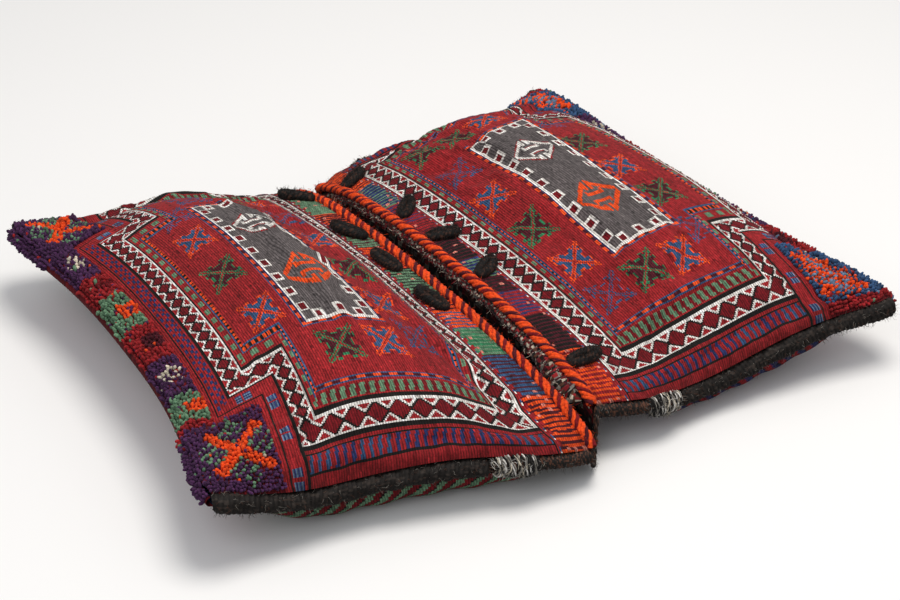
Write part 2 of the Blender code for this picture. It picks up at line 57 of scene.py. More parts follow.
# The shape of the stuffed pouches, as in the part
VALLEY_DEPTH = 0.030
SEAM_GAP = 0.0006
UNDERSIDE_RUN = 1.6
MOUTH_ROOM = 0.007
MOUTH_RUN = 0.028
STEEPEST = 2.4
RUMPLE = 1.4
FORM_STEPS = 40

# The weave: pitch of its rows, how long and slanted its stitches are, size of specks and fibres
ROW_PITCH = 0.0026
STITCH_RUN = 2.6
STITCH_LEAN = 0.45
SPECK_SIZE = 0.0022
FIBRE_SIZE = 0.0009

# Where the measured heights of the pouches lie along the cloth, and the heights themselves
CROWN_STATIONS = (0.0, 0.12, 0.35, 0.60, 0.82, 1.0)
SEAM_STATIONS = (0.0, 0.35, 0.70, 1.0)
POUCHES = {
    "left": {
        "side": -1, "front_seam": (0.040, 0.062, 0.060, 0.084), "back_seam": (0.047, 0.050, 0.060, 0.086),
        "crown": (0.051, 0.049, 0.099, 0.118, 0.068, 0.008), "power": 2.36, "fullness": 0.71,
        "rim": (0.012, 0.028, 0.028), "reach": (1.06, 0.904), "spread": (1.059, 1.074, 0.991),
        "lean": 0.17, "place": -0.011,
    },
    "right": {
        "side": 1, "front_seam": (0.060, 0.043, 0.066, 0.075), "back_seam": (0.049, 0.063, 0.056, 0.083),
        "crown": (0.047, 0.043, 0.092, 0.106, 0.082, 0.012), "power": 2.32, "fullness": 0.78,
        "rim": (0.021, 0.010, 0.010), "reach": (1.026, 0.890), "spread": (0.983, 1.064, 1.029),
        "lean": 0.0, "place": 0.014,
    },
}

# The sewing of the two edges: where the side cord starts, its height and depth, and its stations
SIDE_CORD_START = 0.103
SIDE_CORD_SIZE = (0.0205, 0.0118)
SIDE_CORD_STATIONS = 230

# The knots near the mouth: where they lie along the edge, their height and depth, their windings
KNOT_RUN = (0.0605, 0.1055)
KNOT_SIZE = (0.0215, 0.0125)
KNOT_TURNS = 64
KNOT_THREADS = ("grey", "black", "ivory", "black", "grey", "black", "cream", "black")
HALF_SIDES = 14

# The mouth lashings: where they end along the edge, and half their height and their depth
LASHING_END = 0.0595
LASHING_SIZE = (0.0078, 0.0088)

# Loose hairs and yarn ends: their length, radius, curl and droop, and how many there are
HAIRS = {
    "side_cord": (0.0068, 0.00024, 0.7, 0.15), "braid": (0.006, 0.00022, 0.5, 0.3),
    "knot": (0.0075, 0.00028, 0.6, 0.1), "lashing": (0.006, 0.00018, 0.5, 0.3),
    "loop": (0.0075, 0.00028, 0.6, 0.35), "lip": (0.0058, 0.00055, 0.8, 0.15),
}
HAIR_COUNTS = {"braid": 600, "knot": 280, "lashing": 260, "loop": 300, "lip": 2000}

# How far apart the cord's wrapped turns lie, and the brown cast of black goat hair
WRAP_PITCH = 0.0052
WARM_HAIR = (1.12, 1.0, 0.92)

# Painted shade on the face: how much darker it is painted towards its sewn edges, where it turns away from
# the light, and how far in
EDGE_SHADE = 0.42
EDGE_SHADE_REACH = 0.014

# Starts of the random draws
SEEDS = {
    "left_wrinkles": 11, "right_wrinkles": 23, "face": 3, "back": 31, "bridge": 41, "bridge_cells": 43,
    "bridge_threads": 47, "left_pile": 7, "right_pile": 8, "braid": 61, "front_cord": 71,
    "back_cord": 72, "knot": 91, "lashing": 111, "loop": 130, "lip": 151,
}

# The rim braid: how far it lies in over the mouth and up, the spread and radius of its plies
BRAID_SHIFT = (0.0024, 0.0016)
BRAID_SPREAD = 0.0034
BRAID_PLY = 0.0024
BRAID_PLIES = ("orange", "maroon", "orange", "dark_red", "orange")

# Where the closure loops come through, from the front edge, and how far each is turned
LOOPS = {"left": (0.246, 0.334, 0.414, 0.538), "right": (0.062, 0.246, 0.334, 0.414, 0.538)}
LOOP_LEANS = {"left": (1.25, 1.35, 0.9, 0.35), "right": (0.2, 0.6, -0.3, 0.7, 0.15)}

# A loop: its middle from the rim, half its length and width, its height over the face with the rise
# towards its tip, the spread and radius of its plies
LOOP_MIDDLE = 0.023
LOOP_REACH = (0.017, 0.005)
LOOP_HEIGHT = (0.0052, 0.0018)
LOOP_SPREAD = 0.0028
LOOP_PLY = 0.0031

# Lines of the woven frame: outer ivory line, inner ivory line, edge of the field
MOUTH_FRAME = (0.0409, 0.0669, 0.0811)
SIDE_FRAME = (0.0327, 0.0582, 0.0885)
OUTER_FRAME = (0.3278, 0.3071, 0.2900)
NOTCH_ALONG = (0.2798, 0.2593, 0.2480)
NOTCH_ACROSS = (0.1277, 0.1485, 0.1809)

# The slate panel: its start and end along, its distance from the sides, its squares each way, and
# its lozenges by their place across, edge and line, with their half sizes
MEDALLION = (0.1452, 0.2224, 0.1685)
MEDALLION_UNITS = (7, 19)
LOZENGES = ((0.357, "brick", "ivory"), (0.243, "orange", "orange"))
LOZENGE_SIZE = (0.0275, 0.0300)

# Bands side by side: where each starts, its thread and how far it stands out.
# Between the frame and the field at the ends, as shares of the way in
INNER_BANDS = (
    (0.0, "black", 0.0002), (0.20, "brick", 0.0), (0.64, "blue", 0.0002), (0.72, "black", 0.0),
)
# The same along the sides
RIBBED_BANDS = (
    (0.0, "black", 0.0003), (0.18, "brick", 0.0), (0.27, "dark_red", 0.0), (0.68, "brick", 0.0),
    (0.78, "blue", 0.0002), (0.83, "maroon", 0.0),
)
# From the side cord in to the frame
SIDE_BANDS = (
    (-0.001, "brick", 0.0004), (0.0086, "black", 0.0), (0.0100, "brick", 0.0003), (0.0236, "black", 0.0),
    (0.0250, "brick", 0.0003), (0.0285, "black", 0.0), (0.0307, "black", 0.0002),
)
# From the frame out to the pile
OUTER_BANDS = (
    (0.0, "black", 0.0002), (0.0024, "brick", 0.0), (0.0180, "black", 0.0), (0.0196, "brick", 0.0003),
)
# From the medallion's edge in
MEDALLION_BANDS = (
    (-0.0080, "brick", 0.0), (-0.0072, "blue", 0.0003), (-0.0058, "maroon", 0.0), (-0.0024, "navy", 0.0),
    (-0.0014, "ivory", 0.0006), (0.0013, "slate", 0.0),
)

# Star motifs in the field: along, across from the front edge, colours
STARS = {
    "right": (
        (0.105, 0.482, "green"), (0.106, 0.410, "blue"), (0.103, 0.334, "orange"), (0.103, 0.260, "green"),
        (0.104, 0.189, "orange"), (0.107, 0.130, "blue"), (0.152, 0.126, "green"), (0.200, 0.124, "orange"),
        (0.243, 0.152, "blue"), (0.250, 0.220, "green"), (0.247, 0.284, "orange"), (0.247, 0.352, "green"),
        (0.246, 0.424, "blue"), (0.196, 0.474, "orange"), (0.150, 0.476, "green"),
    ),
    "left": (
        (0.110, 0.148, "blue"), (0.116, 0.204, "orange"), (0.114, 0.272, "green"), (0.112, 0.344, "orange"),
        (0.112, 0.410, "blue"), (0.112, 0.478, "orange"), (0.155, 0.132, "orange"), (0.205, 0.130, "green"),
        (0.256, 0.206, "orange"), (0.260, 0.286, "green"), (0.256, 0.362, "orange"), (0.250, 0.426, "blue"),
        (0.160, 0.474, "green"), (0.206, 0.474, "blue"),
    ),
}
STAR_COLOURS = {"green": ("leaf", "maroon"), "orange": ("orange", "blue"), "blue": ("blue", "brick")}
# Half the size of a star, and how far its leaf reaches in seven steps from its middle to its tip
STAR_SIZE = (0.0205, 0.0235)
LEAF_STEPS = (0.66, 0.66, 0.88, 0.88, 0.72, 0.88, 1.0)

# Overcast tabs along the rim, from the front edge: end of the tab, its two colours
TABS = {
    "left": (
        (0.072, "orange", "maroon"), (0.140, "blue", "maroon"), (0.190, "green", "leaf"),
        (0.226, "orange", "blue"), (0.258, "maroon", "orange"), (0.322, "green", "black"),
        (0.374, "orange", "brick"), (0.440, "green", "maroon"), (0.476, "maroon", "orange"),
        (0.540, "green", "green"), (0.600, "maroon", "orange"),
    ),
    "right": (
        (0.080, "brick", "orange"), (0.148, "black", "maroon"), (0.200, "brick", "navy"),
        (0.232, "maroon", "black"), (0.276, "navy", "green"), (0.330, "black", "maroon"),
        (0.384, "brick", "maroon"), (0.436, "brick", "navy"), (0.510, "navy", "green"),
        (0.600, "orange", "maroon"),
    ),
}

# Pile along the outer fold, from the front edge: end of the patch, ground, figure
PILE_PATCHES = {
    "left": (
        (0.100, "purple", "green"), (0.114, "brick", "brick"), (0.160, "green", "orange"),
        (0.232, "purple", "cream"), (0.300, "brick", "maroon"), (0.372, "green", "orange"),
        (0.424, "brick", "dark_red"), (0.496, "purple", "cream"), (0.600, "purple", "green"),
    ),
    "right": (
        (0.100, "blue", "orange"), (0.170, "brick", "maroon"), (0.250, "purple", "cream"),
        (0.330, "green", "orange"), (0.410, "brick", "dark_red"), (0.490, "purple", "cream"),
        (0.600, "blue", "orange"),
    ),
}

# The pile: how far past the frame it starts, how long its corners are, and the figure in a corner
# by its middle along and from the side, and its half sizes
PILE_EDGE = 0.026
PILE_CORNER = 0.105
CORNER_FIGURE = (0.338, 0.052, 0.040, 0.048)

# One tuft: its sides, and the share of its length and of the knots' distance at each ring
TUFT_SIDES = 5
TUFT_RINGS = ((0.0, 0.50), (0.62, 0.60), (1.0, 0.30))

# How the filling presses the cloth out: room in the cloth, pressure, steps, largest move
CLOTH_ROOM = 0.035
FILLING_PRESSURE = 3.0
PRESS_FRAMES = 18
PRESS_LIMIT = 0.005
PRESS_GRID = (65, 101)
PRESS_CLOTH = {
    "quality": 6, "mass": 0.25, "tension_stiffness": 14.0, "compression_stiffness": 14.0,
    "shear_stiffness": 4.0, "bending_stiffness": 0.02, "shrink_min": -CLOTH_ROOM,
    "shrink_max": -CLOTH_ROOM, "vertex_group_mass": "sewn", "pin_stiffness": 20.0,
    "use_pressure": True, "uniform_pressure_force": FILLING_PRESSURE,
}

# The bridge: how much deeper its loose reverse hangs than its edge cords, how low it may hang
VALLEY_SHADE = 0.022
BRIDGE_LOWEST = 0.006
BRIDGE_GRID = (31, 200)
REVERSE_THREADS = ("maroon", "black", "brown", "dark_red", "grey", "black", "brick", "cream")

# The rolled inner lip of the right mouth: where it starts and ends across, how far it lies in under
# the rim and down, its radius at the back and at the front, and its threads
LIP_START = 0.016
LIP_END = 0.550
LIP_SHIFT = (0.0030, 0.0055)
LIP_RADIUS = (0.0032, 0.0140)
LIP_THREADS = ("brown", "maroon", "grey", "black", "cream", "brick", "dark_red", "black")

# The floor's half width and level, and how far over the ground everything lies at least
FLOOR_HALF = 6.0
FLOOR_LEVEL = -0.0004
FLOOR_GAP = 0.0002

# The backs: how far they swell out under the side cords, and their grid with the outer fold
BACK_SWELL = 0.011
BACK_GRID = (140, 210)
FOLD_STEPS = 8

# The studio: its sky, and each soft light's name, place, size, power in watts and colour
SKY_STRENGTH = 0.50
LIGHT_AIM = (0, 0, 0.05)
LIGHTS = (
    ("key", (0.35, -0.30, 2.6), 1.5, 43, "fffaf4"),
    ("fill", (-1.6, -1.2, 1.8), 1.4, 9, "f4f8ff"),
)

# The camera, from the photograph's perspective
CAMERA_TURN = math.radians(-31.54)
CAMERA_HEIGHT = math.radians(31.79)
CAMERA_DISTANCE = 2.697
CAMERA_OFFSET = (0.010, 0.044)
CAMERA_LENS = 94.44


def linear(colour):
    """A hex colour, as seen on screen, turned to the light values that shaders use."""
    parts = [int(colour[k:k + 2], 16) / 255 for k in (0, 2, 4)]
    return tuple(p / 12.92 if p <= 0.04045 else ((p + 0.055) / 1.055) ** 2.4 for p in parts)


def thread_colour(label, colour):
    """A setting for the colour of one dyed thread."""
    return FloatVectorProperty(name=label, description=f"Colour of the {label.lower()} thread",
                               subtype="COLOR", size=3, min=0.0, max=1.0, default=linear(colour))


THREADS = ("brick", "dark_red", "ivory", "black", "slate", "orange", "maroon", "navy", "blue",
           "pale_blue", "green", "leaf", "purple", "pink", "grey", "cream", "brown")
CODE = {name: k for k, name in enumerate(THREADS)}


class ThreadColours(bpy.types.PropertyGroup):
    """Colours of the dyed wool, cotton and goat hair."""
    brick: thread_colour("Brick red", "9c2327")
    dark_red: thread_colour("Dark red", "74141c")
    ivory: thread_colour("Ivory", "efebe4")
    black: thread_colour("Black", "1c1917")
    slate: thread_colour("Slate", "635c5c")
    orange: thread_colour("Orange", "f0511c")
    maroon: thread_colour("Maroon", "4e1420")
    navy: thread_colour("Navy", "2c3666")
    blue: thread_colour("Blue", "36557c")
    pale_blue: thread_colour("Pale blue", "68819c")
    green: thread_colour("Sage green", "678a6c")
    leaf: thread_colour("Leaf green", "2f7a52")
    purple: thread_colour("Purple", "4c2a50")
    pink: thread_colour("Pink", "e58a7a")
    grey: thread_colour("Grey", "8d8880")
    cream: thread_colour("Cream", "d8cdb8")
    brown: thread_colour("Brown", "5a3a2c")


class ClothSettings(bpy.types.PropertyGroup):
    """Sizes of the weave and of its folds."""
    cell: FloatProperty(name="Cell", description="Size of one drawn cell of the weave",
                        default=0.00165, min=0.0012, max=0.01, subtype="DISTANCE", unit="LENGTH")
    wrinkle: FloatProperty(name="Wrinkle", description="Height of the soft dents in the stuffed cloth",
                           default=0.0022, min=0.0, max=0.01, subtype="DISTANCE", unit="LENGTH")
    gather: FloatProperty(name="Gather", description="Height of the puckers along the sewn edges",
                          default=0.0016, min=0.0, max=0.01, subtype="DISTANCE", unit="LENGTH")
    rib: FloatProperty(name="Rib", description="Height of the overcast ribs",
                       default=0.0011, min=0.0, max=0.004, subtype="DISTANCE", unit="LENGTH")


class TrimSettings(bpy.types.PropertyGroup):
    """Sizes of the cords, braids, pile and hair."""
    pile: FloatProperty(name="Pile", description="Length of the knotted pile",
                        default=0.0048, min=0.001, max=0.01, subtype="DISTANCE", unit="LENGTH")
    tuft: FloatProperty(name="Tuft", description="Distance between pile knots",
                        default=0.0034, min=0.002, max=0.01, subtype="DISTANCE", unit="LENGTH")
    twist: FloatProperty(name="Twist", description="Length of one turn of the rim braid",
                         default=0.030, min=0.01, max=0.1, subtype="DISTANCE", unit="LENGTH")
    hairs: IntProperty(name="Hairs", description="Loose hairs on each side cord",
                       default=760, min=0, max=4000)


def thread_table():
    """The thread colours as an array, in the order of THREADS."""
    colours = bpy.context.scene.bag_threads
    return np.array([tuple(getattr(colours, name)) for name in THREADS])


def dyed(name):
    """The colour of one thread."""
    return thread_table()[CODE[name]]


def along_curve(stations, values, places):
    """Values read off a smooth curve through the stations, down the first axis."""
    k = np.asarray(stations, float)
    v = np.asarray(values, float)
    places = np.asarray(places, float)
    shape = (-1,) + (1,) * (v.ndim - 1)
    gaps = np.diff(k).reshape(shape)
    slope = np.empty_like(v)
    slope[1:-1] = (v[2:] - v[:-2]) / (gaps[1:] + gaps[:-1])
    slope[0] = (v[1] - v[0]) / gaps[0]
    slope[-1] = (v[-1] - v[-2]) / gaps[-1]
    i = np.clip(np.searchsorted(k, places, side="right") - 1, 0, len(k) - 2)
    span = (k[i + 1] - k[i]).reshape(shape)
    u = ((places - k[i]) / (k[i + 1] - k[i])).reshape(shape)
    rise = (2 * u**3 - 3 * u**2 + 1) * v[i] + (3 * u**2 - 2 * u**3) * v[i + 1]
    return rise + (u**3 - 2 * u**2 + u) * span * slope[i] + (u**3 - u**2) * span * slope[i + 1]


def refine(field, rows, columns):
    """A coarse grid of values on a finer grid, smoothly."""
    tall = along_curve(np.linspace(0, 1, field.shape[0]), field, np.linspace(0, 1, rows))
    return along_curve(np.linspace(0, 1, field.shape[1]), tall.T, np.linspace(0, 1, columns)).T


def three_point(first, middle, last, places):
    """A parabola through three values, at -1, 0 and 1."""
    return middle + (last - first) / 2 * places + ((first + last) / 2 - middle) * places**2


def ease(u):
    """From 0 to 1, steep at first and level at the end."""
    return 1 - (1 - np.clip(u, 0, 1)) ** 2


def ease_both(u):
    """From 0 to 1, level at both ends."""
    u = np.clip(u, 0, 1)
    return u * u * (3 - 2 * u)


def hash_noise(*whole, seed=0):
    """An even random value from 0 to 1 for each set of whole numbers."""
    total = np.zeros(np.broadcast(*whole).shape) + seed * 0.371
    for k, part in enumerate(whole):
        total = total + np.asarray(part, float) * (12.9898, 78.233, 37.719)[k]
    value = np.sin(total) * 43758.5453
    return value - np.floor(value)


def soft_noise(u, v, seed=0):
    """Smooth random values from -1 to 1, one lump per unit."""
    i, j = np.floor(u), np.floor(v)
    fu, fv = ease_both(u - i), ease_both(v - j)
    corner = [hash_noise(i + a, j + b, seed=seed) for a in (0, 1) for b in (0, 1)]
    near = corner[0] * (1 - fv) + corner[1] * fv
    far = corner[2] * (1 - fv) + corner[3] * fv
    return 2 * (near * (1 - fu) + far * fu) - 1


class PouchForm:
    """One stuffed pouch: its face, its back and its plan, over places in the flat cloth."""

    def __init__(self, shape):
        self.side = shape["side"]
        along = np.linspace(0, 1, FORM_STEPS + 1)
        across = np.linspace(-1, 1, FORM_STEPS + 1)
        front = along_curve(SEAM_STATIONS, shape["front_seam"], along)[:, None]
        back = along_curve(SEAM_STATIONS, shape["back_seam"], along)[:, None]
        crown = along_curve(CROWN_STATIONS, shape["crown"], along)[:, None]
        dome = (1 - np.abs(across) ** shape["power"]).clip(0) ** shape["fullness"]
        self.top = front + (back - front) * ((across + 1) / 2)[None, :] + crown * dome[None, :]
        step = FACE_LENGTH / FORM_STEPS
        reach = step / np.sqrt(1 + RUMPLE * (np.diff(self.top, axis=0) / step) ** 2)
        x = np.vstack([np.zeros(FORM_STEPS + 1), np.cumsum(reach, 0)])
        near, far = shape["reach"]
        x = x * three_point(near, 1.0, far, across) + three_point(*shape["rim"], across)
        step = STRIP_WIDTH / FORM_STEPS
        reach = step / np.sqrt(1 + RUMPLE * (np.diff(self.top, axis=1) / step) ** 2)
        y = np.hstack([np.zeros((FORM_STEPS + 1, 1)), np.cumsum(reach, 1)])
        y = (y - y[:, [FORM_STEPS // 2]]) * three_point(*shape["spread"], 2 * along - 1)[:, None]
        self.x = self.side * x - BAG_MIDDLE[0]
        self.y = y + shape["place"] + shape["lean"] * x - BAG_MIDDLE[1]
        self.inside = self.top - CLOTH * self.stretch(self.top)
        self.under_inside = self.sag(along, across)
        self.under = np.maximum(self.under_inside - CLOTH * self.stretch(self.under_inside), 0.0)

    def stretch(self, height):
        """How much taller than thick the cloth stands where it slopes."""
        dxa, dya, dza = (np.gradient(f, axis=0) for f in (self.x, self.y, height))
        dxb, dyb, dzb = (np.gradient(f, axis=1) for f in (self.x, self.y, height))
        area = dxa * dyb - dxb * dya
        slope_x = (dza * dyb - dzb * dya) / area
        slope_y = (dzb * dxa - dza * dxb) / area
        return np.minimum(np.sqrt(1 + slope_x**2 + slope_y**2), STEEPEST)

    def sag(self, along, across):
        """Inside of the back: down to the ground, up to the seams, the fold and the mouth."""
        share = (across + 1) / 2
        seam = self.inside[:, [0]] * (1 - share) + self.inside[:, [-1]] * share
        edge = seam - SEAM_GAP
        fold_lift = (self.inside - seam)[[-1], :]
        mouth_lift = (self.inside - seam)[[0], :]
        from_side = (1 - np.abs(across))[None, :] * STRIP_WIDTH / 2
        from_mouth = along[:, None] * FACE_LENGTH
        from_fold = (1 - along)[:, None] * FACE_LENGTH
        side_drop = ease(from_side / (UNDERSIDE_RUN * edge))
        fold_drop = ease(from_fold / (UNDERSIDE_RUN * (edge[[-1], :] + fold_lift)))
        mouth_drop = ease_both(from_mouth / (UNDERSIDE_RUN * (edge[[0], :] + mouth_lift)))
        border = edge + fold_lift * (1 - fold_drop) + mouth_lift * (1 - mouth_drop)
        inside = CLOTH + (border - CLOTH) * (1 - side_drop * fold_drop * mouth_drop)
        from_edge = np.minimum(from_side, np.minimum(from_mouth, from_fold))
        return np.minimum(inside, self.inside - SEAM_GAP - MOUTH_ROOM * ease(from_edge / MOUTH_RUN))

    def surface(self, height, rows, columns):
        """A face as a fine grid of points."""
        return np.stack([refine(f, rows, columns) for f in (self.x, self.y, height)], -1)

    def read(self, height, along, across):
        """Points of a face at places in the cloth."""
        return self.read_grid(np.stack([self.x, self.y, height], -1), along, across)

    def read_grid(self, grid, along, across):
        """Points of a grid that covers the cloth, at places in it."""
        last = np.array(grid.shape[:2]) - 1
        u = np.clip(np.asarray(along) / FACE_LENGTH, 0, 1) * last[0]
        v = np.clip(np.asarray(across) / STRIP_WIDTH, 0, 1) * last[1]
        i = np.minimum(u.astype(int), last[0] - 1)
        j = np.minimum(v.astype(int), last[1] - 1)
        u, v = (u - i)[..., None], (v - j)[..., None]
        near = grid[i, j] * (1 - u) + grid[i + 1, j] * u
        far = grid[i, j + 1] * (1 - u) + grid[i + 1, j + 1] * u
        return near * (1 - v) + far * v

    def normal(self, along, across):
        """Which way the face looks at places in the cloth."""
        step = FACE_LENGTH / FORM_STEPS / 2
        da = self.read_grid(self.face, np.minimum(along + step, FACE_LENGTH), across)
        da = da - self.read_grid(self.face, np.maximum(along - step, 0), across)
        db = self.read_grid(self.face, along, np.minimum(across + step, STRIP_WIDTH))
        db = db - self.read_grid(self.face, along, np.maximum(across - step, 0))
        return unit(np.cross(da, db) * self.side)

    def edge(self, back, places):
        """The sewn edge of the pouch at places along the cloth."""
        line = np.full(len(places), STRIP_WIDTH if back else 0.0)
        points = self.read(self.inside, np.asarray(places), line)
        points[:, 2] -= SEAM_GAP / 2
        return points


def unit(vectors):
    """Vectors of length one."""
    return vectors / np.maximum(np.linalg.norm(vectors, axis=-1, keepdims=True), 1e-9)


def from_edge(across):
    """How far a place lies from the nearer sewn edge."""
    return np.minimum(across, STRIP_WIDTH - across)


def frame_depth(place, lines):
    """How deep a place lies in the frame: 1 at its outer line, 2 at its inner one, 3 in the field."""
    first, second, third = lines
    turn = 1 if third > first else -1
    gap, last = (second - first) * turn, (third - second) * turn
    d = (place - first) * turn
    return np.where(d < gap, 1 + d / gap, 2 + (d - gap) / last)


def past_frame(along, from_side):
    """How far a place lies out past the frame's outer line, and how far it lies in the notch."""
    notch = np.minimum(along - NOTCH_ALONG[0], NOTCH_ACROSS[0] - from_side)
    return np.maximum(along - OUTER_FRAME[0], notch), notch


class Chart:
    """The woven design: a thread and a height at each place, painted field by field."""

    def __init__(self, along, across):
        self.along, self.across = along, across
        self.from_side = from_edge(across)
        self.thread = np.full(along.shape, CODE["brick"])
        self.lift = np.zeros(along.shape)

    def paint(self, where, thread, lift=0.0):
        """Weave one thread over the places where a rule holds."""
        self.thread = np.where(where, CODE[thread], self.thread)
        self.lift = np.where(where, lift, self.lift)

    def paint_bands(self, zone, depth, bands):
        """Weave bands side by side, each from its own depth on."""
        for start, thread, lift in bands:
            self.paint(zone & (depth > start), thread, lift)

    def draw_star(self, along, across, outline, filling):
        """Four hooked leaves with stepped edges, parted by a narrow cross."""
        p, q = np.abs(self.along - along) / STAR_SIZE[0], np.abs(self.across - across) / STAR_SIZE[1]
        far, near = np.maximum(p, q), np.minimum(p, q)
        steps = len(LEAF_STEPS)
        turn = np.minimum((near / np.maximum(far, 0.01) * steps).astype(int), steps - 1)
        reach = np.array(LEAF_STEPS)[turn]
        leaf = far < reach
        part = far - near
        self.paint(leaf, filling, 0.0002)
        self.paint(leaf & ((far > reach - 0.095) | (part < 0.135)), outline, 0.0005)
        self.paint(leaf & (part < 0.050), "brick", 0.0001)

    def draw_lozenge(self, along, across, outer, inner):
        """A hooked lozenge: a ring open at two corners, with two brackets inside it."""
        tall, wide = LOZENGE_SIZE
        p, q = np.abs(self.along - along) / tall, np.abs(self.across - across) / wide
        m = p + q
        body = (m < 1.08) & (p < 0.90)
        self.paint(body, outer, 0.0003)
        self.paint(body & (m < 1.00), inner, 0.0006)
        self.paint(body & (m < 0.82), "slate")
        self.paint(body & (p < 0.07) & (m > 0.5), "slate")
        hook = (p > 0.07) & (p < 0.17) & (q > 0.48) & (m < 0.95)
        spine = (q > 0.16) & (q < 0.27) & (p < 0.38)
        arm = (p > 0.27) & (p < 0.38) & (q > 0.16) & (q < 0.40)
        self.paint(hook | spine | arm, inner, 0.0006)
        self.paint((q > 0.27) & (q < 0.32) & (p < 0.27), outer, 0.0003)

    def draw_medallion(self):
        """The slate panel with its row of ivory-edged squares all round."""
        start, end, side = MEDALLION
        s, u = self.along, self.from_side
        deep = -np.maximum(np.maximum(start - s, s - end), side - u)
        dash = np.where((s < start) | (s > end), self.across, s)
        self.paint_bands(True, deep, MEDALLION_BANDS)
        dashed = (deep > -0.0058) & (deep <= -0.0024) & (np.mod(dash, 0.0145) < 0.0082)
        self.paint(dashed, "orange", 0.0004)
        rows, columns = MEDALLION_UNITS
        tall, wide = (end - start) / rows, (STRIP_WIDTH - 2 * side) / columns
        i, fi = np.divmod((s - start) / tall, 1)
        j, fj = np.divmod((self.across - side) / wide, 1)
        rim = (i == 0) | (i == rows - 1) | (j == 0) | (j == columns - 1)
        square = (deep > 0.0013) & rim & ((i + j) % 2 == 1) & ((i % 2 == 1) | (j % 2 == 1))
        line = np.minimum(np.minimum(fi, 1 - fi) * tall, np.minimum(fj, 1 - fj) * wide)
        self.paint(square, "dark_red", 0.0002)
        self.paint(square & (line < 0.0024), "ivory", 0.0006)
        for across, outer, inner in LOZENGES:
            self.draw_lozenge((start + end) / 2, across, outer, inner)

    def draw_frame(self):
        """The ivory-lined diamond border, with the lines and ribs on both sides of it."""
        s, u = self.along, self.from_side
        mouth, side = frame_depth(s, MOUTH_FRAME), frame_depth(u, SIDE_FRAME)
        notch_across = frame_depth(u, NOTCH_ACROSS)
        notch = np.maximum(frame_depth(s, NOTCH_ALONG), notch_across)
        deep = np.minimum(np.minimum(mouth, side), np.minimum(frame_depth(s, OUTER_FRAME), notch))
        along_side = deep == side
        upright = along_side | ((deep == notch) & (notch == notch_across))
        run = np.where(upright, s, self.across)
        self.draw_inner_lines(deep - 2, along_side, run)
        self.draw_diamonds(deep - 1, upright, run)
        line = np.where(along_side, 0.062, 0.048)
        white = (np.abs(deep - 1) < line) | (np.abs(deep - 2) < line)
        self.paint(white, "ivory", 0.0006)
        self.deep = deep

    def draw_inner_lines(self, share, ribbed, run):
        """Between the frame and the field: ribs on the sides, squares and dots at the ends."""
        zone = (share > 0) & (share < 1)
        plain, sides = zone & ~ribbed, zone & ribbed
        self.paint_bands(plain, share, INNER_BANDS)
        squares = (share > 0.28) & (share < 0.56) & (np.mod(run, 0.0165) < 0.0080)
        self.paint(plain & squares, "green", 0.0004)
        self.paint(plain & (share > 0.72) & (np.mod(run, 0.0062) < 0.0034), "orange", 0.0005)
        self.paint(plain & (share > 0.91), "blue", 0.0002)
        self.paint_bands(sides, share, RIBBED_BANDS)
        rib = np.mod(run + share * 0.006, 0.0098) / 0.0098
        band = sides & (share > 0.27) & (share <= 0.68)
        self.paint(band & (rib < 0.54), "green", 0.0002)
        self.lift = np.where(band, self.lift + 0.0006 * np.sin(2 * math.pi * rib * 2) ** 2, self.lift)
        self.paint(sides & (share > 0.83) & (np.mod(run, 0.0165) < 0.0085), "orange", 0.0005)
        self.paint(sides & (share > 0.965), "blue", 0.0002)

    def draw_diamonds(self, share, on_side, run):
        """Ivory zigzags from both lines and black-edged diamonds between them."""
        zone = (share > 0) & (share < 1)
        period = np.where(on_side, 0.0222, 0.0172)
        x = np.abs(np.mod(run / period, 1) - 0.5)
        y = np.minimum(share, 1 - share)
        f = np.where(on_side, x / 0.47 + y / 0.40, x / 0.54 + y / 0.38)
        self.paint(zone, "black")
        self.paint(zone & (f > np.where(on_side, 1.34, 1.46)), "dark_red", 0.0003)
        self.paint(zone & (f < 1.10), "ivory", 0.0006)
        self.paint(zone & (f < np.where(on_side, 0.80, 0.78)), "brick", 0.0002)

    def draw_outer_bands(self):
        """Outside the frame: ribs by the side cords, ladders and dashes by the pile."""
        s, u = self.along, self.from_side
        outside = self.deep < 1
        side = outside & (u < SIDE_FRAME[0])
        self.paint_bands(side, u, SIDE_BANDS)
        rib = np.mod(s - u * 0.35 + 0.35 * u**2 / 0.02, 0.0088) / 0.0088
        band = side & (u > 0.0100) & (u <= 0.0236)
        ribs = band & (rib < 0.44)
        self.paint(ribs, "blue", 0.0002)
        self.paint(ribs & (soft_noise(s / 0.03, u * 0 + 3.0) > 0.1), "navy", 0.0002)
        self.lift = np.where(band, self.lift + 0.0005 * np.sin(2 * math.pi * rib) ** 2, self.lift)
        past, notch = past_frame(s, u)
        beyond = s - OUTER_FRAME[0] > notch - 1e-9
        along_notch = np.where(s - NOTCH_ALONG[0] < NOTCH_ACROSS[0] - u, self.across, s)
        run = np.where(beyond, self.across, along_notch)
        zone = outside & (past > 0)
        self.paint_bands(zone, past, OUTER_BANDS)
        column = np.floor(past / 0.0042)
        dash = np.mod(run + 0.0056 * column, 0.0112) < 0.0054
        dash &= beyond & (column >= 1) & (column <= 3) & (np.mod(past, 0.0042) < 0.0031)
        self.paint(zone & dash, "navy", 0.0004)
        rung = np.mod(run, 0.044)
        ladder = zone & ~beyond & (past > 0.0065) & (past < 0.0155) & (rung < 0.016)
        self.paint(ladder, "navy")
        self.paint(ladder & (np.mod(past, 0.0036) < 0.0016), "pale_blue", 0.0004)
        self.paint(ladder & (rung > 0.0068) & (rung < 0.0092), "brick")
        self.paint(zone & (past > PILE_EDGE), "dark_red")

